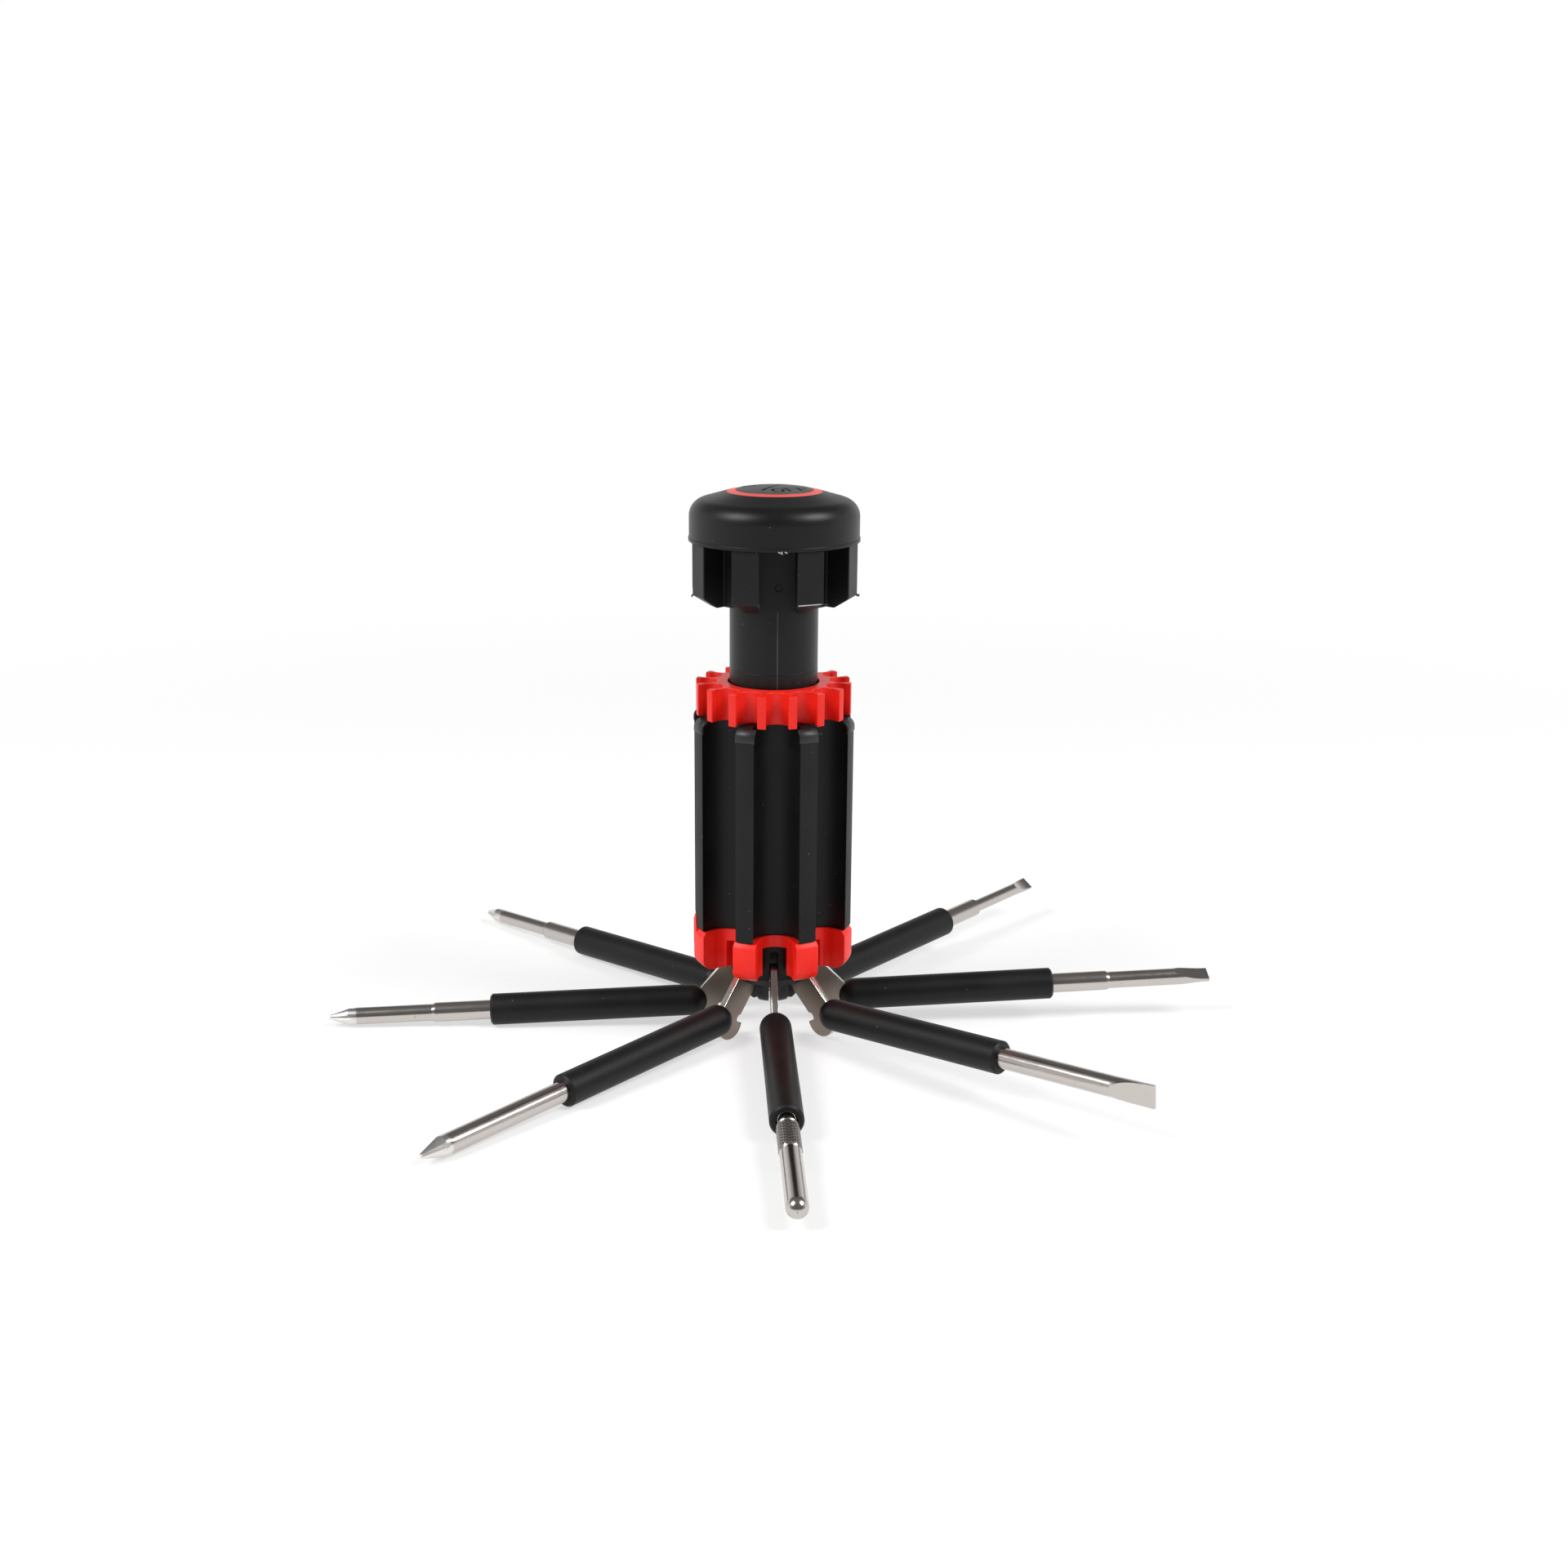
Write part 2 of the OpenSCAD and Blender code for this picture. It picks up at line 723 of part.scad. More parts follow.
// Along-shaft helper: children are drawn with the shaft's axis along +Z and turned to lie along +X.
module along_shaft() translate([0, 0, -hinge_r]) rotate([0, 90, 0]) children();

module driver_grip(k)
    color([0.09, 0.09, 0.095])
        posed(k)
            difference() {
                along_shaft() rotate_extrude() grip_section();
                along_shaft() tube(shaft_d / 2 + grip_fit, grip_at + link_tail, driver_len);
                upright(link_t + 2 * grip_fit) link_outline();
            }

module grip_section() {
    intersection() {
        translate([0, grip_at + grip_r]) circle(grip_r);
        translate([0, grip_at - OVER]) square([grip_r, grip_d]);
    }
    difference() {
        translate([0, grip_at + grip_r]) square([grip_r, grip_len - grip_r]);
        polygon([
            [grip_r - grip_chamfer, grip_end],
            [grip_r - grip_chamfer, grip_end + OVER],
            [grip_r + OVER, grip_end + OVER],
            [grip_r + OVER, grip_end - grip_chamfer],
            [grip_r, grip_end - grip_chamfer]
        ]);
    }
}

module driver_shaft(k)
    color([0.78, 0.78, 0.79])
        posed(k)
            along_shaft()
                rotate(DRIVERS[k][5])
                    shaft_form(DRIVERS[k][1], DRIVERS[k][3], DRIVERS[k][4]);

module shaft_form(tip, end_d, tip_size) {
    if (tip == "round") round_shaft();
    if (tip == "slot") slot_shaft(end_d, tip_size);
    if (tip == "cross") cross_shaft(end_d, tip_size);
}

// Half section of a shaft: full diameter, a short cone to the end diameter, and from z on a straight tip.
module shaft_section(end_d, z, tip_r) {
    step_z = driver_len - neck_len;
    polygon([
        [0, grip_at + link_tail],
        [shaft_d / 2, grip_at + link_tail],
        [shaft_d / 2, step_z],
        [end_d / 2, step_z + step_cone],
        [end_d / 2, z],
        [tip_r, driver_len],
        [0, driver_len]
    ]);
}

// The pick-up rod: a neck, a collar, a ridged band and a barrel with a round nose.
module round_shaft() {
    collar_z = grip_end + pickup_neck;
    band_z = collar_z + pickup_collar;
    barrel_z = band_z + pickup_band;
    nose_z = driver_len - shaft_d / 2;
    rotate_extrude() {
        drum(grip_at + link_tail, grip_end - OVER);
        translate([0, grip_end - 2 * OVER]) square([neck_d / 2, barrel_z + 4 * OVER - grip_end]);
        drum(collar_z, band_z);
        drum(band_z, barrel_z);
        drum(barrel_z, nose_z + pickup_edge);
        intersection() {
            translate([0, nose_z]) circle(shaft_d / 2);
            translate([0, nose_z - OVER]) square([shaft_d / 2, shaft_d]);
        }
    }
}

// Half section of a length of shaft with both ends chamfered.
module drum(z0, z1)
    polygon([
        [0, z0],
        [shaft_d / 2 - pickup_edge, z0],
        [shaft_d / 2, z0 + pickup_edge],
        [shaft_d / 2, z1 - pickup_edge],
        [shaft_d / 2 - pickup_edge, z1],
        [0, z1]
    ]);

// A shaft that spreads to its blade and is hollow-ground on two sides.
module slot_shaft(end_d, blade_w) {
    flat_len = flat_ratio * end_d;
    depth = (end_d - blade_t) / 2;
    hollow_r = (pow(flat_len, 2) + pow(depth, 2)) / (2 * depth);
    difference() {
        rotate_extrude() shaft_section(end_d, driver_len - flat_len, blade_w / 2);
        for (side = [-1, 1])
            upright(FAR)
                translate([side * (blade_t / 2 + hollow_r), driver_len])
                    circle(hollow_r);
    }
}

// A cone with four flutes that run out along the shaft.
module cross_shaft(end_d, flute_len)
    difference() {
        rotate_extrude() shaft_section(end_d, driver_len - cone_share * flute_len, cross_nose_r);
        for (k = [0:3]) rotate(90 * k) flute(end_d / 2, flute_len);
    }

module flute(r, flute_len) {
    slope = atan((r - flute_core_r) / flute_len);
    translate([r, 0, driver_len - flute_len])
        rotate([0, -slope, 0])
            linear_extrude(2 * flute_len)
                polygon([[0, 0], [r, r], [r, -r]]);
}

handle_body();
tip_rack();
hinge_crown();
thrust_hub();
hinge_wire();
cap_lid();
tip_guard();
battery_tube();
button_bezel();
power_button();
push_switch();
battery_carrier();
battery_cells();
contact_plates();
led_board();
led_lamps();
reflector();
torch_lens();
for (k = [0:DRIVER_COUNT - 1]) {
    driver_link(k);
    driver_shaft(k);
    driver_grip(k);
}
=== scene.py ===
"""Looks, light and camera for a fold-out pocket screwdriver with a pull-out torch."""

import math

import bmesh
import bpy
import numpy as np
from mathutils import Matrix, Vector


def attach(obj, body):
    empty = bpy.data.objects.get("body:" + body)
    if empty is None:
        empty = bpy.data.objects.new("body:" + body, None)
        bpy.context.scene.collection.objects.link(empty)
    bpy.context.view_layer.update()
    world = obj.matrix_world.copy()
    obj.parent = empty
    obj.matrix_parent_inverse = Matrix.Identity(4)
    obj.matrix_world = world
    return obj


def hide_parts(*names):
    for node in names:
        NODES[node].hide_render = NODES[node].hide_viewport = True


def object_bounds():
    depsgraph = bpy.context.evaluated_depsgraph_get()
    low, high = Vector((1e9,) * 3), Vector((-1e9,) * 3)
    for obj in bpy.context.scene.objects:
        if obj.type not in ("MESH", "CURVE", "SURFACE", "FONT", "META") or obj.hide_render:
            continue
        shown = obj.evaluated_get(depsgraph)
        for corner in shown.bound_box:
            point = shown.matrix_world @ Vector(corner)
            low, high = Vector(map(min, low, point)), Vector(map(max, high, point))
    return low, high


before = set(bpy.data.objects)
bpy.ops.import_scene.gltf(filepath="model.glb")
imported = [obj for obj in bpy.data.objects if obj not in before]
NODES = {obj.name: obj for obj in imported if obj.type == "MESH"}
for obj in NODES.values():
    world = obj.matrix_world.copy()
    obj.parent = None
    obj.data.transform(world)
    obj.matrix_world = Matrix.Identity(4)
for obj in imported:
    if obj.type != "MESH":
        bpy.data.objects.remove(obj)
CAD_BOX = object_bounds()
MM = 0.001

# Drivers in order round the handle, from the one that points at the viewer towards +X
DRIVERS = ["pickup", "slot_large", "slot_medium", "slot_small",
           "slot_fine", "cross_small", "cross_medium", "cross_large"]
STEP_DEG = 45.0

# Lengths are in millimetres and turns in degrees, unless a comment says otherwise.

# Camera: place, turns, focal length in pixels of the square picture; sensor, and clipping in metres
EYE = Vector((-26.947, -546.702, 226.402))
YAW, PITCH, ROLL = 3.160, 15.551, -0.427
FOCAL_PX, PICTURE_PX = 2383.5, 1920
SENSOR, CLIP_START, CLIP_END = 36.0, 0.01, 50.0

# Hinge: the pins' radius and height, and how far the shafts slope to the ground
HINGE_R, HINGE_Z = 9.75, 17.369
GROUND_ANGLE = 2.212

# Levels up the tool
CROWN_TOP = 32.519
RACK_Z, RACK_TOP = 95.819, 105.119
GUARD_Z, LID_Z = 127.619, 145.719

# Radii of the torch tube, of the lid's side and of the lid's lower edge
TUBE_R, LID_R = 12.65, 24.1
LID_EDGE = LID_R + 0.2

# Pick-up rod: its radius; where the knurled band runs, the driver's lift, and how the ends fade
ROD_R = 2.9
BAND_START, BAND_END, BAND_LIFT = 78.4, 92.4, 1.3
BAND_INSET, BAND_FADE = 0.4, 0.5
KNURL_PITCH, KNURL_STARTS, KNURL_DEPTH = 1.55, 12, 0.24
KNURL_LIFT, KNURL_SINK = 0.01, 0.15
KNURL_ROWS, KNURL_COLUMNS = 150, 168

# Radius about the tool's axis from which the cross tips are fluted
FLUTE_START = 123.2

# Key of the torch: dome, rim (radius and drop of each ring), side, flange and stem
KEY_R, KEY_DOME, KEY_EDGE_Z = 10.8, 0.95, 159.86
KEY_TOP_R, KEY_RINGS, KEY_COLUMNS = 10.45, 150, 400
KEY_RIM = np.array([(10.6, 0.03), (10.72, 0.11), (10.79, 0.26)])
KEY_RIM_DROP = 0.45
KEY_FLANGE_R, KEY_FLANGE_Z, KEY_FLANGE_TOP = 11.6, 154.319, 155.319
KEY_STEM_R, KEY_STEM_Z = 1.6, 150.519

# Key's engraving: depth, where a stroke's wall rises from its middle line, where its painted shade
# ends, and how far below the dome's edge a face still belongs to the top
STROKE_DEPTH, STROKE_WALL, STROKE_EDGE = 0.3, (0.28, 0.46), 0.38
TOP_DEPTH = 0.5
LETTER_W, LETTER_H, LETTER_TURN = 2.9, 3.7, 25.0

# Ribs: radius of their faces. Caps: how far they hang down, half of the section, the foot, and the
# rounded top with its turn and steps
RIB_R = 23.7
CAP_DROP = 3.9
CAP_SIDE = np.array([(2.2, -1.3), (2.75, -0.75), (2.9, -0.4), (2.82, -0.14), (2.6, 0)])
CAP_FOOT = np.array([(-0.6, -0.12), (0.02, -0.08), (0.13, 0.1)])
CAP_ROUND, CAP_ROUND_R, CAP_ROUND_DROP = 2.74, 21.1, 2.77
CAP_ARC, CAP_STEPS = 72, 10

# Tabs of the guard: radius of their flats, half width, and the lower corners' height above its foot
TAB_R, TAB_HALF, TAB_EDGE = 23.5, 4.1, 3.2

# Slivers: rings, sides, how late they taper, and a direction that none of them runs along
SLIVER_RINGS, SLIVER_SIDES, SLIVER_TAPER = 9, 8, 2.5
SLIVER_ASIDE = (0.31, 0.17, 0.93)

# Torn flash on the guard: two bent paths (out, along, up) from a tab's corner; then for each place
# the tab's azimuth, the corner's side, the path and the width
HOOK = [(-0.3, -0.4, 0.2), (0.0, 0.1, -0.25), (0.15, 0.8, -0.45), (0.2, 1.1, 0.15)]
STUB = [(-0.4, -0.4, 0.3), (0.05, 0.05, -0.2), (0.1, 0.15, -0.75)]
TORN_TABS = [(-67.5, 1, HOOK, 0.34), (-67.5, -1, STUB, 0.36), (247.5, 1, STUB, 0.34),
             (-22.5, 1, HOOK, 0.32), (202.5, -1, STUB, 0.26), (67.5, 1, STUB, 0.3),
             (112.5, -1, HOOK, 0.3)]
FRONT_RIGHT = -67.5

# Lid's flash: least height and what wander and tear add to it; turn and width, in radians, of the
# torn stretch; columns
FLASH_DROP, FLASH_WANDER, FLASH_TORN = 0.12, 0.09, 0.28
TEAR_TURN, TEAR_WIDTH = 4.744, 0.05
FLASH_COLUMNS = 720

# Burrs under the lid's front edge: azimuth, and for each fleck its turn, sideways step and drop;
# the line's and the hook's paths (out, along, up) are from a tab's corner and from a rib's face
BURR_TURN, BURR_WIDTH = -88.2, 0.22
FLECKS = ((-2.2, 0.35, 0.3), (-0.6, 0.3, 0.75), (0.5, -0.2, 0.5), (1.9, 0.45, 0.25))
# Line under a tab: its pale grey is a painted glint on the flash's edge
TAB_LINE = [(-0.05, -8.0, -0.04), (-0.05, -4.0, -0.04), (-0.05, -0.1, -0.04)]
TAB_LINE_WIDTH = 0.2
RIB_HOOK = [(-0.8, 2.5, -1.7), (-0.5, 3.2, -1.75), (-0.45, 4.3, -1.9)]
RIB_HOOK_WIDTH = 0.5

# Tube's mould marks, as beads with a sunk foot, a rise and a half width: seams up two sides, from
# below the rack's top to above the guard's foot, and a ring
SEAM_TURNS, SEAM_BELOW, SEAM_ABOVE = (-88.1, 91.9), 8, 2
BEAD_SINK, BEAD_STEPS, SEAM_ROWS, RING_COLUMNS = 0.06, 7, 40, 180
SEAM_RISE, SEAM_HALF = 0.11, 0.17
RING_Z, RING_RISE, RING_HALF = 109.0, 0.1, 0.16

# Ejector marks: radius of the notches' floors, height, step aside and size; the rim; the middle's
# rise and where it ends; how far and from where the outside sinks; notches that have one
MARK_FLOOR_R, MARK_Z, MARK_ASIDE, MARK_R = 15.2, 134.2, 0.55, 1.25
MARK_RIM_R, MARK_RIM_WIDTH, MARK_RIM_RISE = 0.95, 0.16, 0.2
MARK_MIDDLE, MARK_MIDDLE_END = 0.06, (0.6, 0.9)
MARK_SINK, MARK_SINK_R = 0.25, 1.05
MARK_RINGS, MARK_COLUMNS = 12, 40
MARKED = (0, 2, 4, 6)

# Flash on the crown: azimuth, reach below and above the crown's top, half width and taper, section
FIN_TURN, FIN_LOW, FIN_HIGH = 196.6, -2.0, 4.4
FIN_HALF, FIN_TAPER, FIN_ROWS = 0.9, 0.08, 12
FIN_SECTION = np.array([(-1, -0.3), (-1, 0.22), (-0.3, 0.3), (0.4, 0.3), (1, 0.2), (1, -0.3)])

# Rounded edges: points closer than MERGE metres are one, faces within FLAT_DEG are one face, and
# edges sharper than EDGE_DEG are rounded, by a width for each kind of piece
MERGE, FLAT_DEG, EDGE_SEGMENTS, EDGE_DEG = 2e-6, 0.6, 3, 32.0
RACK_SOFT, CROWN_SOFT, GUARD_SOFT, LINK_SOFT = 0.3, 0.45, 0.5, 0.2

# Built meshes, in metres: points closer than this are one, and shorter edges are dropped
SKIN_MERGE, SKIN_NIL = 1e-6, 1e-7

# Studio, in metres: soft boxes left and right of the tool's middle, floor, and greys of the room
BOX_PLACES = [(-0.78, -0.36, 0.82), (0.78, -0.36, 0.82)]
BOX_SIZE, BOX_POWER = 0.5, 11.0
FLOOR_SIZE = 6.0
FLOOR_GLOW, FLOOR_FADE = 0.57, (0.12, 0.75)
CEILING_GREY, CEILING_RAMP = 0.16, (0.2, 0.55)
ROOM_GREY, ROOM_RAMP = 0.14, (-0.6, 0.05)
SKY_LIGHT = 0.42


def smooth(x, low, high):
    """Smooth step from 0 at low to 1 at high."""
    t = np.clip((x - low) / (high - low), 0, 1)
    return t * t * (3 - 2 * t)


# Shader building


class Shader:
    """A material's or group's node tree with short ways to add nodes and links."""

    def __init__(self, tree):
        self.tree = tree

    def node(self, kind, inputs=(), **settings):
        """A node with its settings; inputs maps socket names or numbers to values or sockets."""
        made = self.tree.nodes.new(kind)
        for key, value in settings.items():
            setattr(made, key, value)
        for key, value in dict(inputs).items():
            if isinstance(value, bpy.types.NodeSocket):
                self.tree.links.new(value, made.inputs[key])
            else:
                made.inputs[key].default_value = value
        return made

    def link(self, value, socket):
        """Joins an output to an input."""
        self.tree.links.new(value, socket)

    def math(self, operation, *values):
        """Result of a Math node."""
        return self.node("ShaderNodeMath", enumerate(values), operation=operation).outputs[0]

    def vector(self, operation, *values):
        """Vector Math node."""
        return self.node("ShaderNodeVectorMath", enumerate(values), operation=operation)

    def place(self):
        """Place on the piece, in metres."""
        return self.node("ShaderNodeTexCoord").outputs["Object"]

    def noise(self, where, scale, detail=3.0, rough=0.5):
        """Noise value at a place."""
        inputs = {"Vector": where, "Scale": scale, "Detail": detail, "Roughness": rough}
        return self.node("ShaderNodeTexNoise", inputs).outputs[0]

    def ramp(self, value, low, high, to_low=0.0, to_high=1.0):
        """Value mapped smoothly from low..high to to_low..to_high and held outside."""
        inputs = {0: value, 1: low, 2: high, 3: to_low, 4: to_high}
        made = self.node("ShaderNodeMapRange", inputs, interpolation_type="SMOOTHSTEP")
        return made.outputs[0]

    def blend(self, share, a, b):
        """Colour between a and b."""
        # Factor and the two colours among the sockets of a Mix node
        inputs = {0: share, 6: a, 7: b}
        return self.node("ShaderNodeMix", inputs, data_type="RGBA").outputs[2]


def grey(value, tint=(1.0, 1.0, 1.0)):
    """Colour with alpha from a brightness and a tint."""
    return (value * tint[0], value * tint[1], value * tint[2], 1.0)


# Moulded skin: scales of sheen and dust per metre, how far the sheen changes the roughness, which
# noise is dust, and which sheen blends the two colours
WAVE_SCALE, WAVE_SPREAD, WAVE_RANGE = 90.0, 0.16, (0.3, 0.7)
DUST_SCALE, DUST_RANGE, DUST_COLOUR = 1900.0, (0.87, 0.9), grey(0.45)

# Steel: scale of the polish, which noise is a pit, how both dull it, colours of pits and flutes;
# the flutes' paler colour is a painted reflection
POLISH_SCALE, POLISH_DULL = 160.0, 0.08
PIT_RANGE, PIT_DULL, PIT_COLOUR = (0.68, 0.82), 0.05, grey(0.36, (1.0, 0.9, 0.83))
FLUTE_PAINTED_REFLECTION, FLUTE_DULL = grey(0.74, (1.0, 0.97, 0.94)), 0.1

# Plate: how squarely a surface looks across the plate where it is plain face and where it is sawn
# edge; how the edge's marks are stretched and darken it; colours, roughness and the edge's shine
EDGE_FACING, EDGE_STRETCH = (0.9, 0.5), (1.0, 1.0, 0.12)
STRIPE_RAMP = (0.3, 0.7, 0.8, 1.0)
PLATE_COLOUR, SAWN_COLOUR = grey(0.29, (1.0, 0.84, 0.73)), grey(0.72, (1.0, 0.95, 0.9))
PLATE_ROUGH, SAWN_SHINE = 0.34, 0.16


def group(name, inputs, outputs, fill):
    """Shader node group with float inputs (name, default) and outputs; fill draws its inside."""
    tree = bpy.data.node_groups.new(name, "ShaderNodeTree")
    for socket, default in inputs:
        made = tree.interface.new_socket(socket, in_out="INPUT", socket_type="NodeSocketFloat")
        made.default_value = default
    for socket in outputs:
        tree.interface.new_socket(socket, in_out="OUTPUT", socket_type="NodeSocketFloat")
    s = Shader(tree)
    given = s.node("NodeGroupInput").outputs
    result = fill(s, given)
    end = s.node("NodeGroupOutput")
    for socket, value in result.items():
        s.link(value, end.inputs[socket])
    return tree


def fill_moulded(s, given):
    """Spark-eroded mould skin: fine pebbles, slow waves of sheen, and a few pale dust specks."""
    place = s.place()
    pebble = s.noise(place, given["Grain"], 2.0, 0.6)
    wave = s.noise(place, WAVE_SCALE, 2.0)
    dust = s.ramp(s.noise(place, DUST_SCALE, 0.0), *DUST_RANGE)
    spread = s.math("MULTIPLY", s.math("SUBTRACT", wave, 0.5), WAVE_SPREAD)
    rough = s.math("ADD", given["Roughness"], spread)
    return {"Height": pebble, "Roughness": rough, "Dust": dust, "Wave": wave}


def fill_polish(s, given):
    """Polished and plated steel: faint pits and slow waves of polish."""
    place = s.place()
    wave = s.noise(place, POLISH_SCALE, 3.0)
    pits = s.ramp(s.noise(place, given["Grain"], 1.0), *PIT_RANGE)
    rough = s.math("ADD", given["Roughness"], s.math("MULTIPLY", wave, POLISH_DULL))
    rough = s.math("ADD", rough, s.math("MULTIPLY", pits, PIT_DULL))
    return {"Height": s.math("SUBTRACT", wave, pits), "Roughness": rough, "Pits": pits}


def fill_plate_edge(s, given):
    """How much a surface of a radial plate faces along the plate (its sawn edge), with marks across
    the edge."""
    coords = s.node("ShaderNodeTexCoord").outputs
    parts = s.node("ShaderNodeSeparateXYZ", {0: coords["Object"]}).outputs
    turned = {0: s.math("MULTIPLY", parts[1], -1.0), 1: parts[0]}
    across = s.node("ShaderNodeCombineXYZ", turned).outputs[0]
    across = s.vector("NORMALIZE", across).outputs[0]
    facing = s.vector("DOT_PRODUCT", coords["Normal"], across).outputs["Value"]
    edge = s.ramp(s.math("ABSOLUTE", facing), *EDGE_FACING)
    drawn = s.vector("MULTIPLY", coords["Object"], EDGE_STRETCH).outputs[0]
    return {"Edge": edge, "Stripes": s.noise(drawn, given["Grain"], 2.0)}


MOULDED = group("moulded_skin", [("Grain", 2600.0), ("Roughness", 0.5)],
                ["Height", "Roughness", "Dust", "Wave"], fill_moulded)
POLISH = group("polished_steel", [("Grain", 1500.0), ("Roughness", 0.1)],
               ["Height", "Roughness", "Pits"], fill_polish)
PLATE_EDGE = group("plate_edge", [("Grain", 2200.0)], ["Edge", "Stripes"], fill_plate_edge)


def new_material(name):
    """Empty node material: its shader helper and its Principled shader."""
    material = bpy.data.materials.new(name)
    material.use_nodes = True
    s = Shader(material.node_tree)
    return material, s, material.node_tree.nodes["Principled BSDF"]


def use_group(s, tree, **inputs):
    """Places a node group and sets its inputs; gives its outputs."""
    made = s.node("ShaderNodeGroup", node_tree=tree)
    for key, value in inputs.items():
        made.inputs[key].default_value = value
    return made.outputs


def rounded_normal(s, radius, height, depth):
    """Normal with edges rounded by radius, unless it is 0, and a bump of the given depth."""
    bump = {"Height": height, "Strength": 1.0, "Distance": depth * MM}
    if radius:
        bevel = s.node("ShaderNodeBevel", {"Radius": radius * MM}, samples=6)
        bump["Normal"] = bevel.outputs[0]
    return s.node("ShaderNodeBump", bump).outputs[0]


def moulded_plastic(name, colour, sheen_colour, roughness, grain=2600.0, depth=0.012, edge=0.25,
                    dust=0.3, shine=0.5):
    """Moulded plastic: base colour in slow waves, fine pebbles, soft edges and specks of dust."""
    material, s, shader = new_material(name)
    skin = use_group(s, MOULDED, Grain=grain, Roughness=roughness)
    body = s.blend(s.ramp(skin["Wave"], *WAVE_RANGE), colour, sheen_colour)
    specks = s.math("MULTIPLY", skin["Dust"], dust)
    s.link(s.blend(specks, body, DUST_COLOUR), shader.inputs["Base Color"])
    s.link(skin["Roughness"], shader.inputs["Roughness"])
    s.link(rounded_normal(s, edge, skin["Height"], depth), shader.inputs["Normal"])
    shader.inputs["Specular IOR Level"].default_value = shine
    return material


def bright_steel(name, tint, roughness, grain=1500.0, depth=0.004, edge=0.12, ground=None):
    """Plated steel: near mirror, with faint pits that dull it; beyond the radius ground about the
    tool's axis it is satin, as a tip's flutes are, and paler, a painted reflection."""
    material, s, shader = new_material(name)
    polish = use_group(s, POLISH, Grain=grain, Roughness=roughness)
    colour = s.blend(polish["Pits"], tint, PIT_COLOUR)
    rough = polish["Roughness"]
    if ground:
        level = s.vector("MULTIPLY", s.place(), (1.0, 1.0, 0.0)).outputs[0]
        away = s.vector("LENGTH", level).outputs["Value"]
        tip = s.ramp(away, ground * MM, (ground + 1) * MM)
        # Tip's paler colour is a painted reflection; its added roughness is the flutes' real satin
        colour = s.blend(tip, colour, FLUTE_PAINTED_REFLECTION)
        rough = s.math("ADD", rough, s.math("MULTIPLY", tip, FLUTE_DULL))
    s.link(colour, shader.inputs["Base Color"])
    s.link(rough, shader.inputs["Roughness"])
    s.link(rounded_normal(s, edge, polish["Height"], depth), shader.inputs["Normal"])
    shader.inputs["Metallic"].default_value = 1.0
    return material


def sawn_plate(name):
    """Nickel-plated sheet: dull warm faces, bright and faintly striped edges."""
    material, s, shader = new_material(name)
    polish = use_group(s, POLISH, Grain=900.0, Roughness=PLATE_ROUGH)
    plate = use_group(s, PLATE_EDGE)
    edge = s.math("MULTIPLY", plate["Edge"], s.ramp(plate["Stripes"], *STRIPE_RAMP))
    colour = s.blend(edge, PLATE_COLOUR, SAWN_COLOUR)
    s.link(colour, shader.inputs["Base Color"])
    rough = s.math("SUBTRACT", polish["Roughness"], s.math("MULTIPLY", edge, SAWN_SHINE))
    s.link(rough, shader.inputs["Roughness"])
    s.link(rounded_normal(s, 0.12, polish["Height"], 0.0012), shader.inputs["Normal"])
    shader.inputs["Metallic"].default_value = 1.0
    return material


def clear_plastic(name, tint):
    """Clear moulded plastic of the torch's window and lamps."""
    material, s, shader = new_material(name)
    skin = use_group(s, MOULDED, Grain=900.0, Roughness=0.06)
    shader.inputs["Base Color"].default_value = tint
    shader.inputs["Transmission Weight"].default_value = 0.85
    shader.inputs["IOR"].default_value = 1.49
    s.link(skin["Roughness"], shader.inputs["Roughness"])
    s.link(rounded_normal(s, 0.15, skin["Height"], 0.004), shader.inputs["Normal"])
    return material


BLACK = moulded_plastic("black_satin", grey(0.004), grey(0.0052), 0.39, shine=0.27)
BLACK_GUARD = moulded_plastic("black_guard", grey(0.0075), grey(0.0095), 0.42,
                              grain=1900.0, depth=0.006, edge=0.15, shine=0.2)
BLACK_MATT = moulded_plastic("black_textured", grey(0.0055), grey(0.008), 0.5,
                             grain=1700.0, depth=0.02, edge=0.2, dust=0.4, shine=0.25)
BLACK_GRIP = moulded_plastic("black_grip", grey(0.0048), grey(0.0068), 0.48,
                             grain=1500.0, depth=0.014, edge=0.2, dust=0.4, shine=0.25)
BLACK_KEY = moulded_plastic("black_key", grey(0.044), grey(0.054), 0.5,
                            edge=0.1, dust=0.2, shine=0.45)
# Rib caps: twice as light as the handle's black, a painted highlight on their rolled tops
BLACK_CAP_PAINTED_HIGHLIGHT = moulded_plastic("black_cap_painted_highlight", grey(0.011), grey(0.016), 0.42,
                             grain=1700.0, depth=0.01, edge=0.1, shine=0.4)
BLACK_SEAM = moulded_plastic("black_seam", grey(0.03), grey(0.045), 0.4,
                             grain=1700.0, depth=0.006, edge=0.05, shine=0.4)
# Near black of the key's strokes: painted shade in the engraved grooves
STROKE_PAINTED_SHADE = moulded_plastic("stroke_painted_shade", grey(0.002), grey(0.003), 0.6,
                               edge=0.1, dust=0.0, shine=0.1)
# Pale torn plastic of the burrs; on the line under a tab the same pale grey is a painted glint
PALE_FLASH_AND_GLINT = moulded_plastic("torn_flash_and_glint", grey(0.12), grey(0.5), 0.3,
                             grain=3400.0, depth=0.02, edge=0.05, dust=0.6)
GREY_HUB = moulded_plastic("dark_hub", grey(0.022), grey(0.028), 0.5,
                           grain=1700.0, depth=0.02, shine=0.4)
RED = moulded_plastic("red_gloss", (0.80, 0.014, 0.008, 1), (0.86, 0.021, 0.012, 1), 0.36,
                      grain=1500.0, depth=0.008, edge=0.2, dust=0.05, shine=0.26)
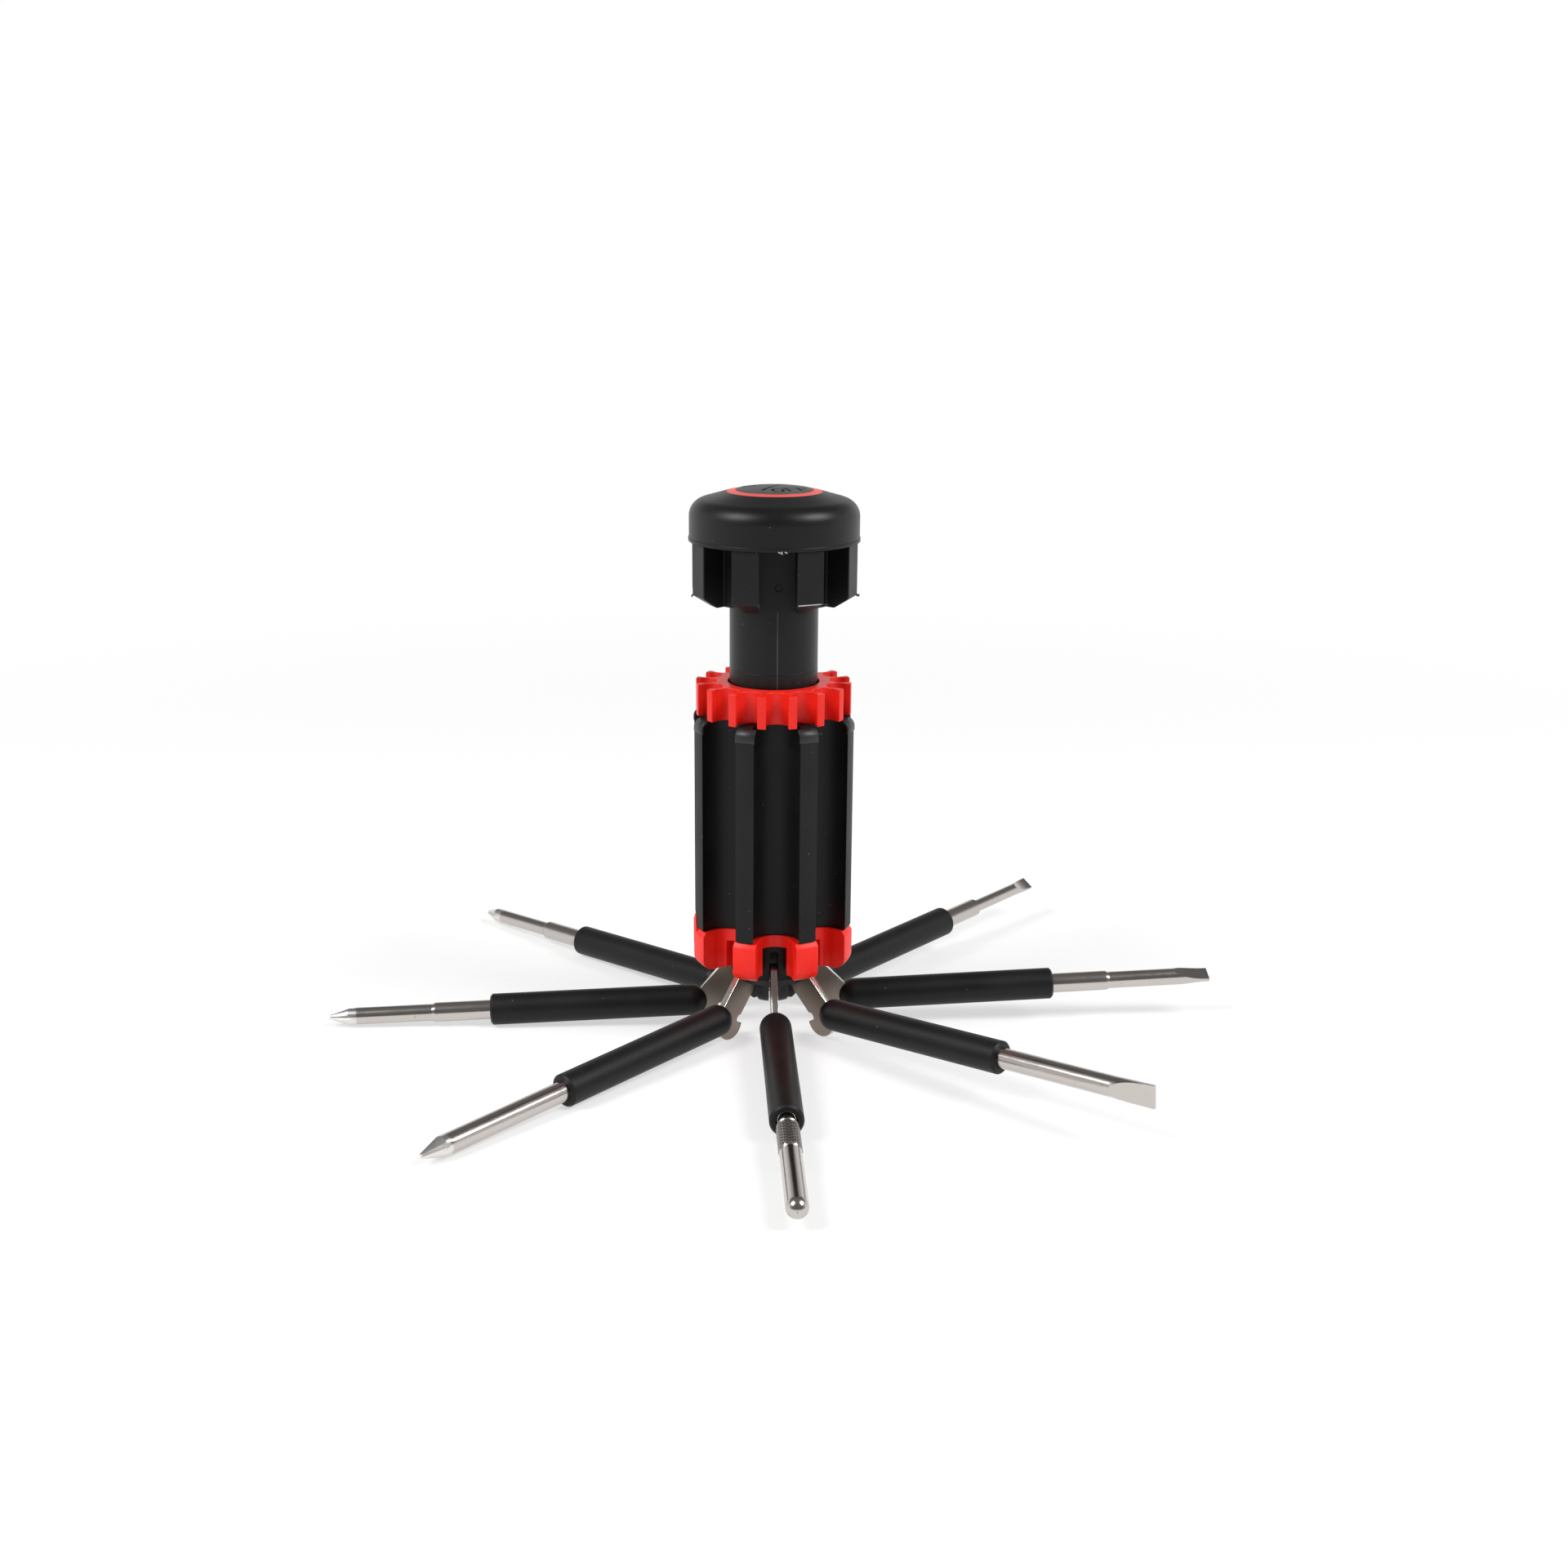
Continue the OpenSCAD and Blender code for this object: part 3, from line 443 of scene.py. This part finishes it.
# Rack: the crown's red made darker, painted shade
RED_SHADED_RACK = moulded_plastic("red_rack_painted_shade", (0.66, 0.013, 0.0075, 1), (0.72, 0.019, 0.011, 1), 0.36,
                           grain=1500.0, depth=0.008, edge=0.2, dust=0.05, shine=0.26)
RED_BEZEL = moulded_plastic("red_bezel", (0.55, 0.05, 0.04, 1), (0.61, 0.066, 0.052, 1), 0.4,
                            grain=1500.0, depth=0.01, edge=0.1, dust=0.05, shine=0.4)
CELL_WRAP = moulded_plastic("cell_wrap", grey(0.35, (0.9, 0.97, 1.0)),
                            grey(0.4, (0.9, 0.97, 1.0)), 0.3, grain=900.0, depth=0.004)
BOARD = moulded_plastic("lamp_board", (0.02, 0.16, 0.05, 1), (0.03, 0.2, 0.07, 1), 0.4,
                        grain=900.0, depth=0.01, edge=0.1, dust=0.1)

SHAFT_LOOK = {"tint": grey(0.55, (1.0, 0.93, 0.885)), "roughness": 0.165,
              "depth": 0.0003, "edge": 0}
STEEL = bright_steel("polished_shaft", **SHAFT_LOOK)
CROSS_STEEL = bright_steel("fluted_shaft", ground=FLUTE_START, **SHAFT_LOOK)
SATIN_STEEL = bright_steel("knurled_steel", grey(0.3, (1.0, 0.93, 0.88)), 0.26,
                           grain=2200.0, depth=0.006, edge=0.05)
NICKEL = sawn_plate("nickel_plate")
WIRE = bright_steel("hinge_wire", grey(0.6, (1.0, 0.97, 0.93)), 0.28)
CHROME = bright_steel("reflector_chrome", grey(0.88), 0.06)
BRASS = bright_steel("contact_brass", (0.78, 0.56, 0.24, 1.0), 0.22)
LENS = clear_plastic("clear_window", (0.95, 0.97, 1.0, 1.0))
LAMP = clear_plastic("lamp_epoxy", (1.0, 0.98, 0.9, 1.0))

FINISHES = {
    "handle_body": BLACK_MATT, "tip_rack": RED_SHADED_RACK, "hinge_crown": RED,
    "thrust_hub": GREY_HUB, "hinge_wire": WIRE,
    "cap_lid": BLACK, "tip_guard": BLACK_GUARD, "battery_tube": BLACK,
    "button_bezel": RED_BEZEL, "power_button": BLACK_KEY, "push_switch": BLACK,
    "battery_carrier": BLACK_MATT, "battery_cells": CELL_WRAP, "contact_plates": BRASS,
    "led_board": BOARD, "led_lamps": LAMP, "reflector": CHROME, "torch_lens": LENS,
}
for driver in DRIVERS:
    FINISHES[driver + "_link"] = NICKEL
    FINISHES[driver + "_shaft"] = CROSS_STEEL if driver.startswith("cross") else STEEL
    FINISHES[driver + "_grip"] = BLACK_GRIP


def finish_with(piece, material):
    """Gives a piece one material."""
    piece.data.materials.clear()
    piece.data.materials.append(material)


for name, node in NODES.items():
    finish_with(node, FINISHES[name])


# Pieces


def around(azimuth, points):
    """Points with X pointing outwards turned about the tool's axis to an azimuth."""
    turn = math.radians(azimuth)
    x, y, z = np.moveaxis(np.asarray(points, float), -1, 0)
    return np.stack([x * math.cos(turn) - y * math.sin(turn),
                     x * math.sin(turn) + y * math.cos(turn), z], -1)


def along_driver(k, lift, points):
    """Points (out, across, up) about driver k's shaft line, with out from its pin, put where the
    driver lies."""
    turn = math.radians(GROUND_ANGLE - lift)
    out, across, up = np.moveaxis(points, -1, 0)
    up = up - HINGE_R
    x = out * math.cos(turn) + up * math.sin(turn) + HINGE_R
    z = up * math.cos(turn) - out * math.sin(turn) + HINGE_Z
    return around(STEP_DEG * k - 90, np.stack([x, across, z], -1))


def grid_faces(rows, columns, ring):
    """Four-sided faces of a grid of points, row by row; ring joins the last column to the first."""
    steps = np.arange(columns if ring else columns - 1)
    i, j = np.meshgrid(np.arange(rows - 1), steps, indexing="ij")
    right = (j + 1) % columns
    here, above = i * columns, (i + 1) * columns
    return np.stack([here + j, here + right, above + right, above + j], -1).reshape(-1, 4)


def placed(name, mesh, body, material):
    """Object of a mesh, with a material, that rides on a body."""
    piece = bpy.data.objects.new(name, mesh)
    bpy.context.scene.collection.objects.link(piece)
    finish_with(piece, material)
    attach(piece, body)
    return piece


def shade(mesh, sharp):
    """Shades a mesh smooth, but for edges sharper than an angle."""
    mesh.shade_smooth()
    mesh.set_sharp_from_angle(angle=math.radians(sharp))


def skinned(name, body, material, grids, ring=True, sharp=40.0):
    """One object from grids of points, merged, shaded smooth and given to a body."""
    places, faces, start = [], [], 0
    for points in grids:
        rows, columns = points.shape[:2]
        places.append(points.reshape(-1, 3) * MM)
        faces.append(grid_faces(rows, columns, ring) + start)
        start += rows * columns
    mesh = bpy.data.meshes.new(name)
    mesh.from_pydata(np.concatenate(places).tolist(), [], np.concatenate(faces).tolist())
    work = bmesh.new()
    work.from_mesh(mesh)
    bmesh.ops.remove_doubles(work, verts=work.verts, dist=SKIN_MERGE)
    bmesh.ops.dissolve_degenerate(work, edges=work.edges, dist=SKIN_NIL)
    bmesh.ops.recalc_face_normals(work, faces=work.faces)
    work.to_mesh(mesh)
    work.free()
    shade(mesh, sharp)
    return placed(name, mesh, body, material)


def revolved(profile, columns):
    """Grid of a profile of (radius, height) points carried round the tool's axis."""
    turn = np.linspace(0, 2 * np.pi, columns, endpoint=False)
    r, z = profile[:, :1], profile[:, 1:]
    return np.stack([r * np.cos(turn), r * np.sin(turn), z + 0 * turn], -1)


def stroke_distance(x, y, strokes):
    """Least distance from each place to any of the strokes' straight pieces (two ends each)."""
    a, b = strokes[:, 0], strokes[:, 1]
    ab = b - a
    ax, ay = x[..., None] - a[:, 0], y[..., None] - a[:, 1]
    share = np.clip((ax * ab[:, 0] + ay * ab[:, 1]) / (ab ** 2).sum(1), 0, 1)
    return np.hypot(ax - share * ab[:, 0], ay - share * ab[:, 1]).min(-1)


def letter_o():
    """Ring of a letter O: an ellipse of 24 straight pieces in a box one wide and one high."""
    turn = np.linspace(0, 2 * np.pi, 25)
    ring = np.stack([np.cos(turn), np.sin(turn)], -1) / 2
    return np.stack([ring[:-1], ring[1:]], 1)


LETTER_N = np.array([[(-0.5, -0.5), (-0.5, 0.5)], [(-0.5, 0.5), (0.5, -0.5)],
                     [(0.5, -0.5), (0.5, 0.5)]])
LETTER_F = np.array([[(-0.45, -0.5), (-0.45, 0.5)], [(-0.45, 0.5), (0.5, 0.5)],
                     [(-0.45, 0.02), (0.35, 0.02)]])
KEY_SLASH = np.array([[(-3.9, -7.0), (3.7, 5.6)]])
KEY_LETTERS = [(letter_o(), -7.0, 2.9), (LETTER_N, -2.9, 5.0),
               (letter_o(), 0.6, -6.9), (LETTER_F, 4.4, -5.3), (LETTER_F, 7.7, -3.6)]


def key_strokes():
    """All strokes on the key: letters stretched, turned and set in place, and the slash between
    the two words."""
    turn = math.radians(LETTER_TURN)
    spin = np.array([[math.cos(turn), math.sin(turn)], [-math.sin(turn), math.cos(turn)]])
    letters = [(shape * (LETTER_W, LETTER_H)) @ spin + (x, y) for shape, x, y in KEY_LETTERS]
    return np.concatenate(letters + [KEY_SLASH])


def add_key():
    """Torch key: rings from the dome's middle out over the rim, down its side and flange to the
    stem; the dome is a cap of a sphere, less the strokes, which sink smoothly near their lines
    and whose faces are painted near black as painted shade in the grooves."""
    sphere = (KEY_R ** 2 + KEY_DOME ** 2) / (2 * KEY_DOME)
    r = np.concatenate([np.linspace(0, KEY_TOP_R, KEY_RINGS), KEY_RIM[:, 0]])
    top = KEY_EDGE_Z + KEY_DOME - sphere + np.sqrt(sphere ** 2 - r ** 2)
    top[KEY_RINGS:] -= KEY_RIM[:, 1]
    below = [(KEY_R, KEY_EDGE_Z - KEY_RIM_DROP), (KEY_R, KEY_FLANGE_TOP),
             (KEY_FLANGE_R, KEY_FLANGE_TOP), (KEY_FLANGE_R, KEY_FLANGE_Z),
             (KEY_STEM_R, KEY_FLANGE_Z), (KEY_STEM_R, KEY_STEM_Z), (0, KEY_STEM_Z)]
    points = revolved(np.concatenate([np.stack([r, top], -1), below]), KEY_COLUMNS)
    strokes = key_strokes()
    dome = points[:KEY_RINGS]
    gap = stroke_distance(dome[..., 0], dome[..., 1], strokes)
    dome[..., 2] -= STROKE_DEPTH * (1 - smooth(gap, *STROKE_WALL))
    key = skinned("torch_key", "button", BLACK_KEY, [points], sharp=50.0)
    key.data.materials.append(STROKE_PAINTED_SHADE)
    middles = np.empty(len(key.data.polygons) * 3)
    key.data.polygons.foreach_get("center", middles)
    x, y, z = middles.reshape(-1, 3).T / MM
    # Faces of the strokes take the near-black material, painted shade
    shaded_strokes = (stroke_distance(x, y, strokes) < STROKE_EDGE) & (z > KEY_EDGE_Z - TOP_DEPTH)
    key.data.polygons.foreach_set("material_index", shaded_strokes.astype(np.int32))
    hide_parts("power_button")


def add_knurl():
    """Knurled band of the pick-up rod: a tube whose radius falls to two crossing sets of helical
    grooves, the lesser of two rectified sines of distance along the rod and turn round it; its
    ends sink into the rod."""
    first, last = BAND_START + BAND_INSET, BAND_END - BAND_INSET
    out = np.linspace(first, last, KNURL_ROWS)[:, None]
    turn = np.linspace(0, 2 * np.pi, KNURL_COLUMNS, endpoint=False)[None, :]
    phase = np.pi * (out - BAND_START) / KNURL_PITCH
    helix = KNURL_STARTS * turn / 2
    tooth = np.minimum(abs(np.sin(phase + helix)), abs(np.sin(phase - helix)))
    fade = smooth(out, first, first + BAND_FADE) * smooth(-out, -last, BAND_FADE - last)
    r = ROD_R + KNURL_LIFT + KNURL_DEPTH * tooth * fade
    r[[0, -1]] = ROD_R - KNURL_SINK
    points = np.stack([out + 0 * r, r * np.sin(turn), r * np.cos(turn)], -1)
    skinned("pickup_knurl", "pickup_driver", SATIN_STEEL,
            [along_driver(0, BAND_LIFT, points)])


def add_rib_caps():
    """Rounded cap on the upper end of each rib: a section across the rib, flat with rolled edges
    that turn into the groove, carried up the rib's face and over its rounded top; its black is
    lighter than the handle's, a painted highlight."""
    section = np.concatenate([CAP_SIDE * (-1, 1), CAP_SIDE[::-1]])
    across, depth = section[None, :, 0], section[None, :, 1]
    arc = np.radians(np.linspace(0, CAP_ARC, CAP_STEPS))
    roll = np.stack([CAP_ROUND_R + CAP_ROUND * np.cos(arc),
                     RACK_Z - CAP_ROUND_DROP + CAP_ROUND * np.sin(arc)], -1)
    rise = np.concatenate([CAP_FOOT + (RIB_R, RACK_Z - CAP_DROP), roll])
    lean = np.concatenate([np.zeros(len(CAP_FOOT)), arc])[:, None]
    x = rise[:, :1] + depth * np.cos(lean)
    z = rise[:, 1:] + depth * np.sin(lean)
    cap = np.stack([x, across + 0 * x, z], -1)
    caps = [around(STEP_DEG * (k + 0.5) - 90, cap) for k in range(len(DRIVERS))]
    skinned("rib_caps", "handle", BLACK_CAP_PAINTED_HIGHLIGHT, caps, ring=False)


def sliver(path, width):
    """Tapered round sliver: circles of a width that dies away along a path of points."""
    path = np.array(path, float)
    share = np.linspace(0, 1, SLIVER_RINGS)
    steps = np.linspace(0, 1, len(path))
    line = np.stack([np.interp(share, steps, path[:, i]) for i in range(3)], -1)
    turn = np.linspace(0, 2 * np.pi, SLIVER_SIDES, endpoint=False)[:, None]
    ahead = np.gradient(line, axis=0)
    ahead /= np.linalg.norm(ahead, axis=1, keepdims=True)
    one = np.cross(ahead, SLIVER_ASIDE)
    one /= np.linalg.norm(one, axis=1, keepdims=True)
    two = np.cross(ahead, one)
    r = (width * np.sqrt(np.clip(1 - share ** SLIVER_TAPER, 0, 1)))[:, None, None]
    return line[:, None] + r * (np.cos(turn) * one[:, None] + np.sin(turn) * two[:, None])


def tab_corner(azimuth, side, outwards=0.0, along=0.0, up=0.0):
    """Place near the lower corner of the guard's tab at an azimuth, on the side towards which
    turns grow."""
    across = side * (TAB_HALF + along)
    return around(azimuth, (TAB_R + outwards, across, GUARD_Z + TAB_EDGE + up))


def add_guard_flash():
    """Torn flash on the lower corners of the guard's tabs: short bent slivers."""
    grids = [sliver([tab_corner(azimuth, side, *step) for step in path], width)
             for azimuth, side, path, width in TORN_TABS]
    skinned("guard_flash", "cap", BLACK_GUARD, grids)


def add_lid_flash():
    """Thin flash along the lid's lower edge: a fin whose height wanders with a few sines of the
    turn, and is torn at one place."""
    turn = np.linspace(0, 2 * np.pi, FLASH_COLUMNS, endpoint=False)
    level = 0 * turn
    wander = np.sin(7 * turn) * np.sin(23 * turn + 1) + 0.6 * np.sin(61 * turn + 2)
    torn = np.exp(-((turn - TEAR_TURN) / TEAR_WIDTH) ** 2) * (1 + np.sin(190 * turn))
    drop = FLASH_DROP + FLASH_WANDER * np.clip(wander, 0, None) + FLASH_TORN * torn
    # Each row's way out and up from the lid's lower edge
    rows = [(-0.4, level + 0.15), (-0.02 + 0.06 * torn, level + 0.12), (0.07 * torn, -0.7 * drop),
            (-0.1, -drop), (-0.25, -0.5 * drop), (-0.5, level + 0.1)]
    grid = np.stack([np.stack([(LID_EDGE + out) * np.cos(turn), (LID_EDGE + out) * np.sin(turn),
                               LID_Z + up], -1) for out, up in rows])
    skinned("lid_flash", "cap", BLACK, [grid])


def add_seams():
    """Mould seam up the torch tube, and the ring that its two halves' cores left, as low round
    beads."""
    bead = np.radians(np.linspace(-90, 90, BEAD_STEPS))
    foot = TUBE_R - BEAD_SINK
    up = np.linspace(RACK_TOP - SEAM_BELOW, GUARD_Z + SEAM_ABOVE, SEAM_ROWS)[:, None] + 0 * bead
    out, aside = foot + SEAM_RISE * np.cos(bead), SEAM_HALF * np.sin(bead)
    seam = np.stack([out + 0 * up, aside + 0 * up, up], -1)
    grids = [around(azimuth, seam) for azimuth in SEAM_TURNS]
    skinned("tube_seam", "cap", BLACK_SEAM, grids, ring=False)
    ring = np.stack([foot + RING_RISE * np.cos(bead), RING_Z + RING_HALF * np.sin(bead)], -1)
    skinned("tube_ring", "cap", BLACK, [revolved(ring, RING_COLUMNS)])


def add_ejector_marks():
    """Round ejector marks on the floors of the guard's notches: a low rim round a shallow dish."""
    r = np.linspace(0, MARK_R, MARK_RINGS)[:, None]
    turn = np.linspace(0, 2 * np.pi, MARK_COLUMNS, endpoint=False)[None, :]
    rim = MARK_RIM_RISE * np.exp(-((r - MARK_RIM_R) / MARK_RIM_WIDTH) ** 2)
    middle = MARK_MIDDLE * (1 - smooth(r, *MARK_MIDDLE_END))
    rise = rim + middle - MARK_SINK * smooth(r, MARK_SINK_R, MARK_R)
    mark = np.stack([MARK_FLOOR_R + rise + 0 * turn, MARK_ASIDE + r * np.cos(turn),
                     MARK_Z + r * np.sin(turn)], -1)
    grids = [around(STEP_DEG * k - 90, mark) for k in MARKED]
    skinned("ejector_marks", "cap", BLACK_GUARD, grids)


def add_crown_flash():
    """Thin red flash that stands on one block of the crown, against the rib: a plate that narrows
    upwards."""
    up = np.linspace(FIN_LOW, FIN_HIGH, FIN_ROWS)[:, None]
    half = FIN_HALF - FIN_TAPER * up
    aside, out = FIN_SECTION[None, :, 0], FIN_SECTION[None, :, 1]
    points = np.stack([RIB_R + out + 0 * up, aside * half, CROWN_TOP + up + 0 * aside], -1)
    points[-1] = points[-1].mean(0)
    skinned("crown_flash", "handle", RED, [around(FIN_TURN, points)])


def add_burrs():
    """Pale torn burrs: flecks under the lid's front edge, a bright line under one tab whose
    brightness is a painted glint, and a hook on one rib."""
    flecks = [around(BURR_TURN + turn, [(LID_EDGE - 0.3, 0, LID_Z + 0.1),
                                        (LID_EDGE + 0.1, side, LID_Z - 0.15),
                                        (LID_EDGE + 0.15, 2 * side, LID_Z - drop)])
              for turn, side, drop in FLECKS]
    line = [tab_corner(FRONT_RIGHT, 1, *step) for step in TAB_LINE]
    grids = [sliver(path, BURR_WIDTH) for path in flecks] + [sliver(line, TAB_LINE_WIDTH)]
    skinned("pale_burrs", "cap", PALE_FLASH_AND_GLINT, grids)
    hook = around(FRONT_RIGHT, np.array(RIB_HOOK) + (RIB_R, 0, RACK_Z))
    skinned("rib_hook", "handle", BLACK_MATT, [sliver(hook, RIB_HOOK_WIDTH)])


def softened(node, body, width):
    """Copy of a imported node, merged, its flat faces rejoined and its edges rounded by a width."""
    mesh = NODES[node].data.copy()
    work = bmesh.new()
    work.from_mesh(mesh)
    bmesh.ops.remove_doubles(work, verts=work.verts, dist=MERGE)
    bmesh.ops.dissolve_limit(work, angle_limit=math.radians(FLAT_DEG), verts=work.verts,
                             edges=work.edges)
    work.to_mesh(mesh)
    work.free()
    shade(mesh, EDGE_DEG)
    piece = placed(node + "_soft", mesh, body, FINISHES[node])
    rounding = piece.modifiers.new("soft_edges", "BEVEL")
    rounding.width = width * MM
    rounding.segments = EDGE_SEGMENTS
    rounding.limit_method = "ANGLE"
    rounding.angle_limit = math.radians(EDGE_DEG)
    rounding.harden_normals = True
    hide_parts(node)


add_key()
add_knurl()
add_rib_caps()
add_guard_flash()
add_lid_flash()
add_seams()
add_ejector_marks()
add_crown_flash()
add_burrs()
softened("tip_rack", "handle", RACK_SOFT)
softened("hinge_crown", "handle", CROWN_SOFT)
softened("tip_guard", "cap", GUARD_SOFT)
for driver in DRIVERS:
    softened(driver + "_link", driver + "_driver", LINK_SOFT)


# Camera


def add_camera():
    """Camera at the photograph's place, turned by yaw, then pitch, then roll."""
    yaw, pitch, roll = (math.radians(a) for a in (YAW, PITCH, ROLL))
    ahead = Vector((math.sin(yaw) * math.cos(pitch), math.cos(yaw) * math.cos(pitch),
                    -math.sin(pitch)))
    right = Vector((math.cos(yaw), -math.sin(yaw), 0.0))
    down = ahead.cross(right)
    across = right * math.cos(roll) + down * math.sin(roll)
    under = down * math.cos(roll) - right * math.sin(roll)
    data = bpy.data.cameras.new("camera")
    data.sensor_width = SENSOR
    data.lens = FOCAL_PX / PICTURE_PX * SENSOR
    data.clip_start, data.clip_end = CLIP_START, CLIP_END
    camera = bpy.data.objects.new("camera", data)
    bpy.context.scene.collection.objects.link(camera)
    turn = Matrix((across, -under, -ahead)).transposed().to_4x4()
    camera.matrix_world = Matrix.Translation(EYE * MM) @ turn
    bpy.context.scene.camera = camera


# Floor, background and light


def seen_rays(s):
    """One for rays that show the background: from the camera, a mirror or through glass."""
    rays = s.node("ShaderNodeLightPath").outputs
    seen = s.math("MAXIMUM", rays["Is Camera Ray"], rays["Is Glossy Ray"])
    return s.math("MAXIMUM", seen, rays["Is Transmission Ray"])


def add_floor():
    """Pale floor that glows white where it is looked at and still takes the tool's shadow."""
    half = FLOOR_SIZE / 2
    corners = [(-half, -half, 0), (half, -half, 0), (half, half, 0), (-half, half, 0)]
    mesh = bpy.data.meshes.new("floor")
    mesh.from_pydata(corners, [], [(0, 1, 2, 3)])
    floor = bpy.data.objects.new("floor", mesh)
    bpy.context.scene.collection.objects.link(floor)
    material, s, shader = new_material("floor_white")
    cloth = s.blend(s.noise(s.place(), 240.0, 4.0), grey(0.86), grey(0.92, (1.0, 0.995, 0.985)))
    s.link(cloth, shader.inputs["Base Color"])
    shader.inputs["Roughness"].default_value = 0.7
    glow = s.node("ShaderNodeEmission", {"Color": grey(1.0), "Strength": 1.0}).outputs[0]
    away = s.vector("LENGTH", s.place()).outputs["Value"]
    share = s.math("MULTIPLY", seen_rays(s), s.ramp(away, *FLOOR_FADE, FLOOR_GLOW, 1.0))
    mixed = s.node("ShaderNodeMixShader", {0: share, 1: shader.outputs[0], 2: glow}).outputs[0]
    s.link(mixed, s.tree.nodes["Material Output"].inputs["Surface"])
    floor.data.materials.append(material)


def add_sky():
    """White studio that darkens towards the ceiling and, in reflections, towards the room behind
    the viewer; what lights the tool is a plain grey."""
    world = bpy.data.worlds.new("studio")
    world.use_nodes = True
    bpy.context.scene.world = world
    s = Shader(world.node_tree)
    direction = s.node("ShaderNodeTexCoord").outputs["Generated"]
    parts = s.node("ShaderNodeSeparateXYZ", {0: direction}).outputs
    backdrop = s.blend(s.ramp(parts[2], *CEILING_RAMP), grey(1.0), grey(CEILING_GREY))
    room = s.blend(s.ramp(parts[1], *ROOM_RAMP), grey(ROOM_GREY), backdrop)
    shown = s.blend(s.node("ShaderNodeLightPath").outputs["Is Camera Ray"], room, backdrop)
    colour = s.blend(seen_rays(s), grey(SKY_LIGHT), shown)
    s.link(colour, s.tree.nodes["Background"].inputs["Color"])


def add_soft_box(place):
    """Square soft box that faces the middle of the tool."""
    data = bpy.data.lights.new("soft_box", "AREA")
    data.shape = "SQUARE"
    data.size = BOX_SIZE
    data.energy = BOX_POWER
    lamp = bpy.data.objects.new("soft_box", data)
    bpy.context.scene.collection.objects.link(lamp)
    middle = (CAD_BOX[0] + CAD_BOX[1]) / 2
    lamp.location = middle + Vector(place)
    lamp.rotation_euler = (middle - lamp.location).to_track_quat("-Z", "Y").to_euler()


add_camera()
add_floor()
add_sky()
for place in BOX_PLACES:
    add_soft_box(place)

scene = bpy.context.scene
scene.view_settings.view_transform = "Standard"
